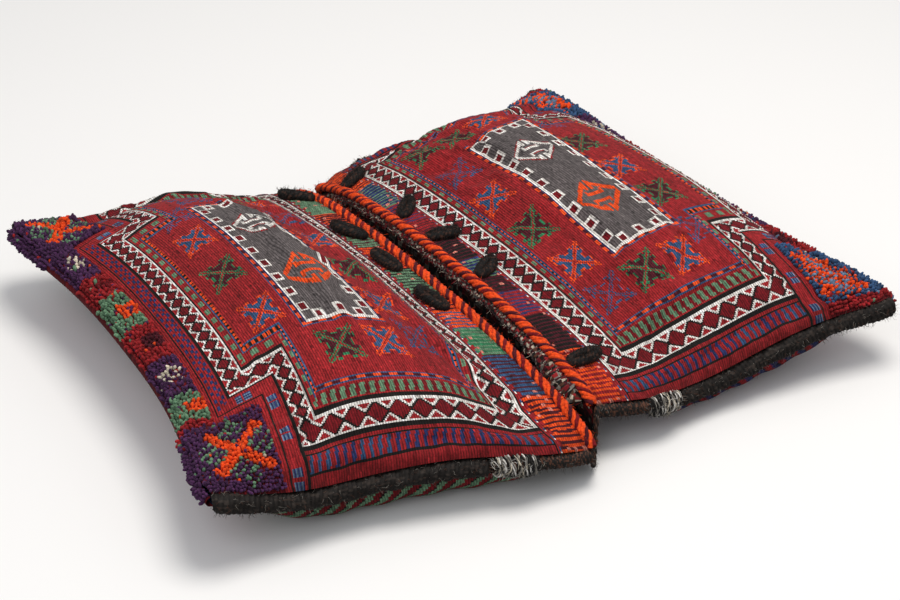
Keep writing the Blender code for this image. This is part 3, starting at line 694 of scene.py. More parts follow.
    def draw_rim_tabs(self, tabs, rib_height):
        """Overcast tabs between the frame and the rim."""
        s, a = self.along, self.across
        zone = s < MOUTH_FRAME[0] - 0.0010
        self.paint(zone, "black")
        self.paint(zone & (s < 0.0385), "brick", 0.0003)
        dashes = zone & (s < 0.0368) & (s > 0.0340)
        self.paint(dashes & (np.mod(a, 0.0130) < 0.0060), "blue", 0.0003)
        self.paint(dashes & (np.mod(a, 0.0130) < 0.0020), "ivory", 0.0003)
        band = zone & (s < 0.0330 + 0.0012 * np.sign(np.sin(a / 0.0021)))
        rib = np.mod(a + 0.0014 * soft_noise(a / 0.03, s / 0.02, 4), 0.0062) / 0.0062
        start = 0.0
        for end, light, dark in tabs:
            tab = band & (a >= start) & (a < end)
            self.paint(tab, dark)
            self.paint(tab & (rib < 0.42), light)
            start = end
        bulge = rib_height * (np.sin(math.pi * rib) ** 0.7) + 0.0004 * soft_noise(a / 0.004, s / 0.003, 5)
        self.lift = np.where(band, bulge, self.lift)
        speck = band & (hash_noise(np.floor(a / 0.0062), np.floor(s / 0.0040), seed=9) > 0.955)
        self.paint(speck & (rib > 0.2) & (rib < 0.8), "pink", rib_height + 0.0006)


def weave_face(hand, along, across):
    """The whole design of one pouch's face."""
    chart = Chart(along, across)
    for s, a, colours in STARS[hand]:
        chart.draw_star(s, a, *STAR_COLOURS[colours])
    chart.draw_medallion()
    chart.draw_frame()
    chart.draw_outer_bands()
    chart.draw_rim_tabs(TABS[hand], bpy.context.scene.bag_cloth.rib)
    return chart


def shade_threads(thread, along, across, seed):
    """Each thread's colour, uneven along its rows as hand-dyed wool is."""
    row = np.floor(along / ROW_PITCH)
    streak = hash_noise(row, np.floor(across / 0.0170 + 5 * hash_noise(row, row, seed=seed)), seed=seed + 1)
    fleck = hash_noise(np.floor(along / 0.0016), np.floor(across / 0.0032), seed=seed + 2)
    drift = soft_noise(along / 0.045, across / 0.12, seed + 3)
    drift = drift + 0.6 * soft_noise(along / 0.012, across / 0.2, seed + 5)
    shade = 1 + 0.42 * (streak - 0.5) + 0.38 * (fleck - 0.5) + 0.12 * drift
    worn = hash_noise(row, np.floor(across / 0.004), seed=seed + 4)
    shade = shade * np.where(worn > 0.972, 0.55, 1.0) * np.where(worn < 0.012, 1.35, 1.0)
    return np.clip(thread_table()[thread] * shade[..., None], 0, 1)


def add_node(tree, kind, place, inputs=None, **values):
    """A shader node at a place in the tree: its values, its inputs set or joined to other nodes."""
    node = tree.nodes.new(kind)
    node.location = place
    for name, value in values.items():
        setattr(node, name, value)
    for name, value in (inputs or {}).items():
        if isinstance(value, bpy.types.NodeSocket):
            tree.links.new(value, node.inputs[name])
        else:
            node.inputs[name].default_value = value
    return node


def wool_material(name, row_size, row_depth, fibre_depth, sheen, roughness):
    """Dyed yarn: its colour from the thread drawn there, rows of weave with painted shade in their grooves,
    and fine fibres over it.
    """
    material = bpy.data.materials.new(name)
    material.use_nodes = True
    tree = material.node_tree
    shader = tree.nodes["Principled BSDF"]
    shader.inputs["Roughness"].default_value = roughness
    shader.inputs["Specular IOR Level"].default_value = 0.22
    shader.inputs["Sheen Weight"].default_value = sheen
    shader.inputs["Sheen Roughness"].default_value = 0.40
    thread = add_node(tree, "ShaderNodeVertexColor", (-900, 300), layer_name="thread").outputs["Color"]
    place = add_node(tree, "ShaderNodeTexCoord", (-1700, -100)).outputs

    def noise(spot, where, scale, detail, rough):
        return add_node(tree, "ShaderNodeTexNoise", spot, {
            "Vector": where, "Scale": scale, "Detail": detail, "Roughness": rough}).outputs["Fac"]

    def spread(spot, value, low, high, darkest, lightest):
        return add_node(tree, "ShaderNodeMapRange", spot, {
            "Value": value, "From Min": low, "From Max": high, "To Min": darkest,
            "To Max": lightest}).outputs["Result"]

    def darken(spot, colour, share):
        return add_node(tree, "ShaderNodeVectorMath", spot, {0: colour, "Scale": share},
                        operation="SCALE").outputs["Vector"]

    speck = noise((-1100, 60), place["Object"], 1 / SPECK_SIZE, 3.0, 0.7)
    colour = darken((-650, 250), thread, spread((-900, 60), speck, 0.3, 0.7, 0.66, 1.22))
    fibre = noise((-1100, -450), place["Object"], 1 / FIBRE_SIZE, 2.0, 0.6)
    bump = add_node(tree, "ShaderNodeBump", (-400, -350),
                    {"Strength": 1.0, "Distance": fibre_depth, "Height": fibre})
    if row_size:
        rows = add_node(tree, "ShaderNodeTexWave", (-1300, -200), {
            "Vector": place["UV"], "Scale": 0.314 / row_size, "Distortion": 2.2, "Detail": 2.0,
            "Detail Scale": 1.1}, wave_type="BANDS", bands_direction="X", wave_profile="SIN")
        lay = add_node(tree, "ShaderNodeMapping", (-1500, -520), {
            "Vector": place["UV"], "Rotation": (0.0, 0.0, STITCH_LEAN),
            "Scale": (1 / row_size, 1 / (row_size * STITCH_RUN), 1.0)})
        stitch = noise((-1300, -520), lay.outputs["Vector"], 1.4, 2.0, 0.65)
        # Painted shade: the colour is darkened in the grooves between the weft rows, and the stitches vary
        # at random
        groove_shade = spread((-900, -200), rows.outputs["Fac"], 0.0, 0.55, 0.52, 1.08)
        uneven = spread((-900, -520), stitch, 0.3, 0.7, 0.70, 1.28)
        both = add_node(tree, "ShaderNodeMath", (-700, -60), {0: groove_shade, 1: uneven},
                        operation="MULTIPLY").outputs["Value"]
        colour = darken((-450, 250), colour, both)
        ridge = add_node(tree, "ShaderNodeBump", (-620, -300),
                         {"Strength": 1.0, "Distance": row_depth, "Height": both})
        tree.links.new(ridge.outputs["Normal"], bump.inputs["Normal"])
    tree.links.new(colour, shader.inputs["Base Color"])
    tree.links.new(bump.outputs["Normal"], shader.inputs["Normal"])
    return material


# Each finish: row pitch, row depth, fibre depth, sheen, roughness
FINISHES = {
    # Weft rows that catch the light, with painted shade in their grooves, and a soft woollen bloom on the
    # flat-woven cloth
    "woven_wool": (ROW_PITCH, 0.00075, 0.00030, 0.03, 0.9),
    # Wiry, darker and a little shiny where the light slides along the hair
    "goat_hair": (0.0, 0.0, 0.00045, 0.03, 0.62),
    # Full, soft yarn with a bright edge against the light
    "braid_wool": (0.0, 0.0, 0.00040, 0.05, 0.9),
    # Cut ends of knots, deep and velvety
    "knotted_pile": (0.0, 0.0, 0.00040, 0.06, 0.95),
    # Pale wiry hair, dry and matt
    "grey_wool": (0.0, 0.0, 0.00035, 0.15, 0.85),
}
MATERIALS = {}


def finish_of(name):
    """The bag's finishes, each made once."""
    if name not in MATERIALS:
        MATERIALS[name] = wool_material(name, *FINISHES[name])
    return MATERIALS[name]


def new_piece(name, points, faces, colours, finish, replaced=(), uv=None):
    """A mesh with a colour for each face, riding on the frame."""
    points = np.asarray(points, float).copy()
    points[:, 2] = np.maximum(points[:, 2], FLOOR_GAP)
    mesh = bpy.data.meshes.new(name)
    mesh.from_pydata(points.tolist(), [], faces if isinstance(faces, list) else faces.tolist())
    sizes = np.empty(len(mesh.polygons), int)
    mesh.polygons.foreach_get("loop_total", sizes)
    full = np.concatenate([np.asarray(colours), np.ones((len(sizes), 1))], 1)
    layer = mesh.color_attributes.new(name="thread", type="FLOAT_COLOR", domain="CORNER")
    layer.data.foreach_set("color", np.repeat(full, sizes, axis=0).astype(np.float32).ravel())
    if uv is not None:
        corner = np.empty(len(mesh.loops), int)
        mesh.loops.foreach_get("vertex_index", corner)
        layer = mesh.uv_layers.new(name="cloth")
        layer.data.foreach_set("uv", np.asarray(uv)[corner].astype(np.float32).ravel())
    mesh.materials.append(finish_of(finish))
    mesh.shade_smooth()
    piece = bpy.data.objects.new(name, mesh)
    bpy.context.collection.objects.link(piece)
    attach(piece, "root")
    if replaced:
        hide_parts(*replaced)
    return piece


def new_cloth(name, points, turned, colours, uv, replaced=()):
    """A grid of woven cloth, with its places in the cloth as its UV map."""
    faces = grid_faces(*points.shape[:2], turned)
    return new_piece(name, points.reshape(-1, 3), faces, colours.reshape(-1, 3), "woven_wool",
                     replaced, np.stack(uv, -1).reshape(-1, 2))


def join_parts(name, parts, finish, replaced=()):
    """One piece of several parts, each with its points, faces and face colours."""
    points, faces, colours, start = [], [], [], 0
    for p, f, c in parts:
        points.append(p)
        faces.append(f + start)
        colours.append(np.broadcast_to(c, (len(f), 3)))
        start += len(p)
    new_piece(name, np.concatenate(points), np.concatenate(faces), np.concatenate(colours),
              finish, replaced)


def grid_faces(rows, columns, turned):
    """Four-cornered faces of a grid of points, looking one way or the other."""
    a = (np.arange(rows - 1)[:, None] * columns + np.arange(columns - 1)[None, :]).ravel()
    corners = np.stack([a, a + 1, a + columns + 1, a + columns], 1)
    return corners[:, ::-1] if turned else corners


def grid_normals(points):
    """Which way a grid of points looks."""
    return unit(np.cross(np.gradient(points, axis=0), np.gradient(points, axis=1)))


def dress_node(node, parts, finish):
    """The piece that dresses one node of the part, of several parts."""
    join_parts(node + "_dressed", parts, finish, [node])


def wrinkles(along, across, seed):
    """Soft dents in the middle and puckers that run in from the sewn edges."""
    cloth = bpy.context.scene.bag_cloth
    from_side = from_edge(across)
    from_fold = FACE_LENGTH - along
    dents = soft_noise(along / 0.085, across / 0.10, seed)
    dents = dents + 0.5 * soft_noise(along / 0.040, across / 0.055, seed + 1)
    fold = soft_noise((along + across * 0.5) / 0.030, (across - along * 0.5) / 0.16, seed + 2)
    soft = ease_both(from_side / 0.03) * ease_both(along / 0.03) * ease_both(from_fold / 0.03)
    pucker = np.sin(2 * math.pi * along / 0.034 + 2.0 * soft_noise(along / 0.07, across / 0.2, seed + 3))
    near = np.exp(-from_side / 0.020) * ease_both(from_side / 0.008) * ease_both(along / 0.04)
    ripple = np.sin(2 * math.pi * across / 0.047 + 2.5 * soft_noise(across / 0.09, along / 0.2, seed + 4))
    near_fold = np.exp(-from_fold / 0.030) * ease_both(from_fold / 0.008)
    return (cloth.wrinkle * (dents * 0.6 + fold * 0.4) * soft
            + cloth.gather * (pucker * near * 1.4 + ripple * near_fold * 1.3))


def press_stuffing(form):
    """A short cloth simulation: the filling presses a slightly roomy face out against its sewn edges.

    Returns a coarse grid of the face's points, each moved along the face's own direction.
    """
    rows, columns = PRESS_GRID
    before = form.surface(form.top, rows, columns)
    mesh = bpy.data.meshes.new("pressed_cloth")
    mesh.from_pydata(before.reshape(-1, 3).tolist(), [], grid_faces(rows, columns, form.side < 0).tolist())
    trial = bpy.data.objects.new("pressed_cloth", mesh)
    bpy.context.collection.objects.link(trial)
    index = np.arange(rows * columns).reshape(rows, columns)
    sewn = np.concatenate([index[0], index[-1], index[:, 0], index[:, -1]])
    trial.vertex_groups.new(name="sewn").add(sewn.tolist(), 1.0, "REPLACE")
    press = trial.modifiers.new("press", "CLOTH")
    for name, value in PRESS_CLOTH.items():
        setattr(press.settings, name, value)
    press.settings.effector_weights.gravity = 0.0
    press.point_cache.frame_end = PRESS_FRAMES
    for moment in range(1, PRESS_FRAMES + 1):
        bpy.context.scene.frame_set(moment)
    pressed = trial.evaluated_get(bpy.context.evaluated_depsgraph_get()).data
    after = np.empty(rows * columns * 3)
    pressed.vertices.foreach_get("co", after)
    bpy.data.objects.remove(trial)
    bpy.context.scene.frame_set(1)
    normals = grid_normals(before) * form.side
    rise = np.einsum("ijk,ijk->ij", after.reshape(rows, columns, 3) - before, normals)
    rise = np.clip(rise - 0.8 * rise.mean(), -PRESS_LIMIT, PRESS_LIMIT)
    settle = ease_both(np.linspace(0, FACE_LENGTH, rows) / 0.03)
    return before + normals * (rise * settle[:, None])[..., None]


FORMS = {}


def pouch_form(hand):
    """The form of one pouch with its face pressed out, made once."""
    if hand not in FORMS:
        FORMS[hand] = PouchForm(POUCHES[hand])
        FORMS[hand].face = press_stuffing(FORMS[hand])
    return FORMS[hand]


def cloth_places(lines, columns):
    """Places in the cloth at the corners of its cells, and at their middles."""
    along, across = np.meshgrid(lines, np.linspace(0, STRIP_WIDTH, columns), indexing="ij")
    middles = ((f[:-1, :-1] + f[1:, 1:]) / 2 for f in (along, across))
    return along, across, *middles


def dress_face(hand):
    """The face of one pouch, woven cell by cell over the pressed cloth."""
    cell = bpy.context.scene.bag_cloth.cell
    form = pouch_form(hand)
    rows, columns = round(FACE_LENGTH / cell) + 1, round(STRIP_WIDTH / cell) + 1
    points = np.stack([refine(form.face[..., k], rows, columns) for k in range(3)], -1)
    along, across, s, a = cloth_places(np.linspace(0, FACE_LENGTH, rows), columns)
    lift = weave_face(hand, along, across).lift
    lift = lift + wrinkles(along, across, SEEDS[hand + "_wrinkles"])
    points = points + grid_normals(points) * form.side * lift[..., None]
    # Painted shade: the face's colour is darkened towards its sewn edges
    edge_shade = 1 - EDGE_SHADE * np.exp(-from_edge(a) / EDGE_SHADE_REACH)
    colours = shade_threads(weave_face(hand, s, a).thread, s, a, SEEDS["face"]) * edge_shade[..., None]
    replaced = [hand + "_filling"] + (["woven_strip"] if hand == "left" else [])
    piece = new_cloth(hand + "_pouch_face", points, form.side < 0, colours, (along, across), replaced)


def dress_back(hand):
    """The plain striped back of one pouch, with the rounded outer fold."""
    form = pouch_form(hand)
    rows, columns = BACK_GRID
    top = form.surface(form.top, rows, columns)[-1]
    under = form.surface(form.under, rows, columns)[::-1].copy()
    share = np.linspace(-1, 1, columns)[None, :]
    from_side = (1 - np.abs(share)) * STRIP_WIDTH / 2
    length = np.linspace(1, 0, rows)[:, None]
    swell = BACK_SWELL * np.sin(math.pi * np.clip(from_side / 0.075, 0, 1))
    swell = swell * np.sin(math.pi * length) ** 0.6
    puckers = 1 + 0.16 * np.sin(2 * math.pi * length * FACE_LENGTH / 0.045 + 2 * np.sign(share))
    under[..., 1] += np.sign(share) * swell * puckers
    middle, radius = (top[:, 2] + under[0, :, 2]) / 2, (top[:, 2] - under[0, :, 2]) / 2
    turn = []
    for angle in np.linspace(math.pi / 2, -math.pi / 2, FOLD_STEPS + 1)[:-1]:
        row = top.copy()
        row[:, 0] += form.side * radius * math.cos(angle)
        row[:, 2] = middle + radius * math.sin(angle)
        turn.append(row)
    points = np.concatenate([np.array(turn), under], 0)
    lines = np.concatenate([np.full(FOLD_STEPS, FACE_LENGTH), np.linspace(FACE_LENGTH, 0, rows)])
    along, across, s, a = cloth_places(lines, columns)
    chart = Chart(s, a)
    light, dark = ("green", "dark_red") if hand == "left" else ("navy", "brick")
    slant = np.mod(s - chart.from_side * 0.7, 0.0175)
    chart.paint(s > -1, dark)
    chart.paint(slant < 0.0085, light)
    chart.paint(np.abs(slant - 0.0088) < 0.0009, "black")
    fold = s > FACE_LENGTH - 0.05
    chart.paint(fold, "brick")
    chart.paint(fold & (np.mod(s, 0.012) < 0.006), "blue")
    chart.paint(fold & (np.mod(s, 0.024) < 0.004), "orange")
    chart.paint(s > FACE_LENGTH - 0.004, "dark_red")
    colours = shade_threads(chart.thread, s, a, SEEDS["back"])
    piece = new_cloth(hand + "_pouch_back", points, form.side < 0, colours, (along, across))


def dress_bridge():
    """The bridge between the mouths: the reverse of the weave, painted nearly black with shade except near
    the right mouth, down in the valley.
    """
    left, right = pouch_form("left"), pouch_form("right")
    rows, columns = BRIDGE_GRID
    start = left.surface(left.under_inside, 3, columns)[0]
    end = right.surface(right.under_inside, 3, columns)[0]
    places = np.linspace(0, STRIP_WIDTH, columns)
    inward = ease_both(np.minimum(places, STRIP_WIDTH - places) / 0.07)
    shares = np.linspace(0, 1, rows)
    points = []
    for share in shares:
        row = start * (1 - share) + end * share
        row[:, 2] -= (VALLEY_DEPTH + VALLEY_SHADE * inward) * math.sin(math.pi * share) ** 1.2
        points.append(row)
    points = np.array(points)
    share, across = np.meshgrid(shares, places, indexing="ij")
    lumps = 0.0012 * soft_noise(share * 9, across / 0.006, SEEDS["bridge"])
    points[..., 2] = np.maximum(points[..., 2] + lumps, BRIDGE_LOWEST)
    middle, beside = share[1:, 1:], across[1:, 1:]
    cell = hash_noise(np.floor(middle * rows), np.floor(beside / 0.004), seed=SEEDS["bridge_cells"])
    picks = np.array([CODE[name] for name in REVERSE_THREADS])
    thread = picks[np.minimum((cell * len(picks)).astype(int), len(picks) - 1)]
    # Painted shade: the bridge is painted nearly black down the valley and is less dark only near the right
    # mouth
    dark = 0.80 - 0.77 * ease_both((1 - middle) / 0.16)
    colours = shade_threads(thread, middle, beside, SEEDS["bridge_threads"]) * dark[..., None]
    piece = new_cloth("bridge_cloth", points, False, colours, (share * 0.05, across))


def frames_along(path):
    """Sideways and upward directions along a path."""
    tangent = unit(np.gradient(path, axis=0))
    side = unit(np.cross(tangent, np.array((0.0, 0.0, 1.0))))
    return side, np.cross(side, tangent)


def tube(path, radius, sides=8, lobes=0.0, turn=0.0, closed=False):
    """Points and faces of a tube, with a twisted two-lobed section where lobes is set."""
    count = len(path)
    side, up = frames_along(path)
    angle = 2 * math.pi * np.arange(sides)[None, :] / sides
    phase = (turn * np.arange(count))[:, None]
    thick = np.broadcast_to(np.asarray(radius, float).reshape(-1, 1), (count, 1))
    r = thick * (1 + lobes * np.cos(2 * angle - phase))
    sideways = side[:, None] * (r * np.cos(angle))[..., None]
    ring = path[:, None] + (sideways + up[:, None] * (r * np.sin(angle))[..., None])
    k = np.arange(count if closed else count - 1)[:, None]
    i = np.arange(sides)[None, :]
    near, far = k * sides, (k + 1) % count * sides
    j = (i + 1) % sides
    faces = np.stack([near + i, near + j, far + j, far + i], -1).reshape(-1, 4)
    return ring.reshape(-1, 3), faces


def strands(rng, roots, directions, kind, colours, segments=3):
    """Short loose hairs or yarn ends, each a thin three-sided tube that bends and tapers."""
    length, radius, curl, droop = HAIRS[kind]
    count = len(roots)
    step = (length * (0.6 + 0.8 * rng.random(count)) / segments)[:, None]
    heading, place, rings = unit(directions), roots, [roots]
    for _ in range(segments):
        bend = rng.normal(size=(count, 3)) * curl
        bend[:, 2] -= droop
        heading = unit(heading + bend)
        place = place + heading * step
        rings.append(place)
    path = np.stack(rings, 1)
    across = unit(np.cross(directions, rng.normal(size=(count, 3))))
    upward = unit(np.cross(across, directions))
    width = radius * np.linspace(1, 0.35, segments + 1)[None, :, None]
    sides = [path + width * (across[:, None] * math.cos(t) + upward[:, None] * math.sin(t))
             for t in (0.0, 2.0944, 4.1888)]
    points = np.stack(sides, 2).reshape(-1, 3)
    base = (np.arange(count) * (segments + 1) * 3)[:, None, None]
    k = base + (np.arange(segments) * 3)[None, :, None]
    i = np.arange(3)[None, None, :]
    j = (i + 1) % 3
    faces = np.stack(np.broadcast_arrays(k + i, k + j, k + 3 + j, k + 3 + i), -1)
    return points, faces.reshape(-1, 4), np.repeat(colours, segments * 3, axis=0)


def pick_colours(rng, count, names, spread=0.35):
    """Random picks of thread colours, each a little lighter or darker."""
    table = thread_table()[[CODE[name] for name in names]]
    picks = table[rng.integers(0, len(names), count)]
    return np.clip(picks * (1 + spread * (rng.random((count, 1)) - 0.5) * 2), 0, 1)


def dress_pile(hand):
    """Knotted pile in the outer corners and along the fold, tuft by tuft."""
    trim = bpy.context.scene.bag_trim
    form = pouch_form(hand)
    rng = np.random.default_rng(SEEDS[hand + "_pile"])
    step = trim.tuft
    across = np.arange(0.004, STRIP_WIDTH - 0.004, step)
    s, a = np.meshgrid(np.arange(NOTCH_ALONG[0], FACE_LENGTH, step), across, indexing="ij")
    s = (s + step * 0.35 * (rng.random(s.shape) - 0.5)).ravel()
    a = (a + step * 0.35 * (rng.random(a.shape) - 0.5)).ravel()
    keep = (past_frame(s, from_edge(a))[0] > PILE_EDGE) & (s < FACE_LENGTH)
    s, a = s[keep], a[keep]
    roots, normals = form.read_grid(form.face, s, a), form.normal(s, a)
    turns = np.linspace(0.18, 1.0, 4)
    fold_a, fold_t = np.tile(across, len(turns)), np.repeat(turns, len(across))
    covered = (from_edge(fold_a) < PILE_CORNER) | (fold_t < 0.5)
    fold_a, fold_t = fold_a[covered], fold_t[covered] * math.pi * 0.5
    fold_s = np.full(len(fold_a), FACE_LENGTH)
    edge, low = form.read(form.top, fold_s, fold_a), form.read(form.under, fold_s, fold_a)
    radius = (edge[:, 2] - low[:, 2]) / 2
    out = np.stack([form.side * np.sin(fold_t), 0 * fold_t, np.cos(fold_t)], 1)
    rounded = edge + radius[:, None] * (out - np.array([0.0, 0.0, 1.0]))
    roots, normals = np.concatenate([roots, rounded]), np.concatenate([normals, out])
    threads = pile_threads(hand, np.concatenate([s, fold_s]), np.concatenate([a, fold_a]))
    count, sides = len(roots), TUFT_SIDES
    stray = rng.random(count) < 0.07
    threads = np.where(stray, rng.permutation(threads), threads)
    normals = unit(normals + 0.30 * rng.normal(size=(count, 3)) + np.array([0.0, -0.15, -0.1]))
    first = unit(np.cross(normals, rng.normal(size=(count, 3))))
    second = np.cross(normals, first)
    length = trim.pile * (0.75 + 0.6 * rng.random(count))
    rings = []
    for height, width in TUFT_RINGS:
        for k in range(sides):
            t = 2 * math.pi * k / sides
            wide = step * width * (0.8 + 0.4 * rng.random((count, 1)))
            spread = wide * (first * math.cos(t) + second * math.sin(t))
            rings.append(roots + normals * (length * height)[:, None] + spread)
    points = np.stack(rings, 1).reshape(-1, 3)
    base = (np.arange(count) * len(rings))[:, None, None]
    pairs = [(ring + k, ring + (k + 1) % sides) for ring in (0, sides) for k in range(sides)]
    walls = (base + np.array([[k, j, j + sides, k + sides] for k, j in pairs])[None]).reshape(-1, 4)
    tops = base[:, 0] + np.arange(2 * sides, 3 * sides)[None, :]
    tone = 0.55 + 0.75 * rng.random((count, 1))
    colours = np.clip(thread_table()[threads] * tone, 0, 1)
    colours = np.concatenate([np.repeat(colours, len(pairs), 0), colours])
    new_piece(hand + "_knotted_pile", points, walls.tolist() + tops.tolist(), colours,
              "knotted_pile")


def pile_threads(hand, s, a):
    """Thread of each pile knot: patches along the fold, a figure in each."""
    thread = np.full(s.shape, CODE["brick"])
    side = from_edge(a)
    middle_s, middle_side, tall, wide = CORNER_FIGURE
    start = 0.0
    for end, ground, figure in PILE_PATCHES[hand]:
        inside = (a >= start) & (a < end)
        middle, half = (start + end) / 2, (end - start) / 2
        if start == 0.0 or end == STRIP_WIDTH:
            p, q = np.abs(s - middle_s) / tall, np.abs(side - middle_side) / wide
            wave = np.mod((s + side) / 0.011, 1) < 0.5
            marks = [((p + q < 1.0) & wave, figure), ((np.abs(p - q) < 0.20) & (p + q < 1.3), "orange")]
            if hand == "right":
                marks += [((p + q < 0.75) & ~wave, "pale_blue"), (side < 0.014, "brick")]
        elif figure == "cream":
            spot = np.hypot((s - 0.366) / 0.010, (a - middle) / (half * 0.45)) < 1
            speck = hash_noise(np.floor(s / 0.0034), np.floor(a / 0.0034), seed=3) > 0.62
            marks = [(spot & speck, figure)]
        else:
            marks = [((np.abs(a - middle) < half * 0.35) & (np.abs(s - 0.362) < 0.009), figure)]
        for where, name in [(inside, ground)] + marks:
            thread = np.where(inside & where, CODE[name], thread)
        start = end
    return thread


def dress_braid(hand):
    """The plaited braid sewn over the rim: orange plies with maroon ones between."""
    twist = bpy.context.scene.bag_trim.twist
    form = pouch_form(hand)
    count = 400
    across = np.linspace(0.004, STRIP_WIDTH - 0.004, count)
    path = form.surface(form.top, 3, count)[0]
    path[:, 0] -= form.side * BRAID_SHIFT[0]
    path[:, 2] += BRAID_SHIFT[1] + 0.0009 * soft_noise(across / 0.03, across * 0, 17)
    side, up = frames_along(path)
    parts = []
    for k, name in enumerate(BRAID_PLIES):
        turn = 2 * math.pi * (across / twist + k / len(BRAID_PLIES)) * form.side
        turn = turn + 0.5 * soft_noise(across / 0.02, across * 0, 19)
        offset = BRAID_SPREAD * (side * np.cos(turn)[:, None] * 1.15 + up * np.sin(turn)[:, None] * 0.9)
        points, faces = tube(path + offset, BRAID_PLY, 8, 0.18, 0.9)
        tone = 0.75 + 0.5 * hash_noise(np.arange(len(faces)) // 8, np.arange(len(faces)) % 8, seed=k)
        parts.append((points, faces, np.clip(dyed(name) * tone[:, None], 0, 1)))
    rng = np.random.default_rng(SEEDS["braid"])
    hairs = HAIR_COUNTS["braid"]
    pick = rng.integers(0, count, hairs)
    away = unit(side[pick] * rng.normal(size=(hairs, 1)) + up[pick] * (0.4 + rng.random((hairs, 1))))
    heading = away + 0.6 * rng.normal(size=(hairs, 3))
    colours = pick_colours(rng, hairs, ("orange", "orange", "maroon"))
    parts.append(strands(rng, path[pick] + away * 0.0048, heading, "braid", colours))
    dress_node(hand + "_rim_braid", parts, "braid_wool")


def dress_side_cord(hand, end):
    """The goat-hair cord that overcasts face and back together: wrapped turns with painted shade in the
    grooves between them, and loose hairs.
    """
    hairs = bpy.context.scene.bag_trim.hairs
    form = pouch_form(hand)
    outward = 1 if end == "back" else -1
    seed = SEEDS[end + "_cord"]
    rng = np.random.default_rng(seed)
    count, sides = SIDE_CORD_STATIONS, 18
    path = smooth_path(form.edge(end == "back", np.linspace(SIDE_CORD_START, FACE_LENGTH, count)), 9)
    stations = np.arange(count)
    taper = np.clip(np.minimum(stations, stations[::-1] + 3) / 5, 0.25, 1) ** 0.5
    height, depth = (size * taper for size in SIDE_CORD_SIZE)
    tangent = unit(np.gradient(path[:, :2], axis=0))
    normal = np.stack([-tangent[:, 1], tangent[:, 0], np.zeros(count)], 1)
    normal *= np.sign(normal[:, [1]] * outward)
    angle = np.linspace(-math.pi / 2, math.pi / 2, sides)
    run = np.concatenate([[0], np.cumsum(np.linalg.norm(np.diff(path, axis=0), axis=1))])[:, None]
    phase = run / WRAP_PITCH + angle[None, :] * 0.55
    phase = phase + 0.25 * soft_noise(run / 0.012, angle[None, :] * 0.8, seed + 5)
    relief = 0.94 + 0.16 * np.abs(np.sin(math.pi * phase)) ** 0.6
    relief = relief + 0.16 * soft_noise(run / 0.007, angle[None, :] * 1.6, seed)
    out = 0.0004 + depth.reshape(-1, 1) * np.cos(angle)[None, :] * relief
    points = path[:, None] + normal[:, None] * out[..., None]
    points[..., 2] += height.reshape(-1, 1) / 2 * np.sin(angle)[None, :] * relief
    turn = np.floor(phase[:-1, :-1])
    # Painted shade: the hair is darker in the grooves between the wrapped turns; the lighter turns fall at
    # random
    groove_shade = np.abs(np.sin(math.pi * phase[:-1, :-1]))
    worn = hash_noise(turn, np.floor(angle[None, :-1] * 7), seed=seed) > 0.80
    dark = 0.30 + 0.80 * groove_shade + 1.6 * worn
    colours = dyed("black")[None, None] * dark[..., None] * np.array(WARM_HAIR)
    colours = np.clip(colours.reshape(-1, 3), 0, 1)
    parts = [(points.reshape(-1, 3), grid_faces(count, sides, False), colours)]
    i, j = rng.integers(0, count, hairs), rng.integers(2, sides - 1, hairs)
    upward = np.array([[0, 0, 1.0]]) * np.sin(angle[j])[:, None]
    away = unit(normal[i] * np.cos(angle[j])[:, None] + upward)
    lean = unit(np.gradient(path, axis=0))[i] * rng.normal(size=(hairs, 1)) * 1.6
    colours = pick_colours(rng, hairs, ("black", "black", "brown", "grey"), 0.3)
    parts.append(strands(rng, points[i, j] - away * 0.0005, away + lean, "side_cord", colours))
    dress_node(f"{hand}_{end}_side_cord", parts, "goat_hair")


def smooth_path(path, width):
    """The path with its kinks rounded."""
    pad = np.concatenate([np.repeat(path[:1], width, 0), path, np.repeat(path[-1:], width, 0)])
    kernel = np.hanning(2 * width + 1)
    kernel /= kernel.sum()
    smooth = np.stack([np.convolve(pad[:, k], kernel, "valid") for k in range(3)], 1)
    smooth[0], smooth[-1] = path[0], path[-1]
    return smooth


def half_round(path, outward, stand, depth, height, relief=1.0):
    """The rounded outer half of a cord along a path, and the angle of each of its lines."""
    angle = np.linspace(-math.pi / 2, math.pi / 2, HALF_SIDES)
    points = path[:, None].repeat(HALF_SIDES, 1)
    points[..., 1] += outward * (stand + depth * np.cos(angle)[None, :] * relief)
    points[..., 2] += height * np.sin(angle)[None, :] * relief
    return points, angle


def away_from(angle, outward):
    """Which way a half-round cord looks at each angle."""
    return np.stack([0 * angle, outward * np.cos(angle), np.sin(angle)], 1)


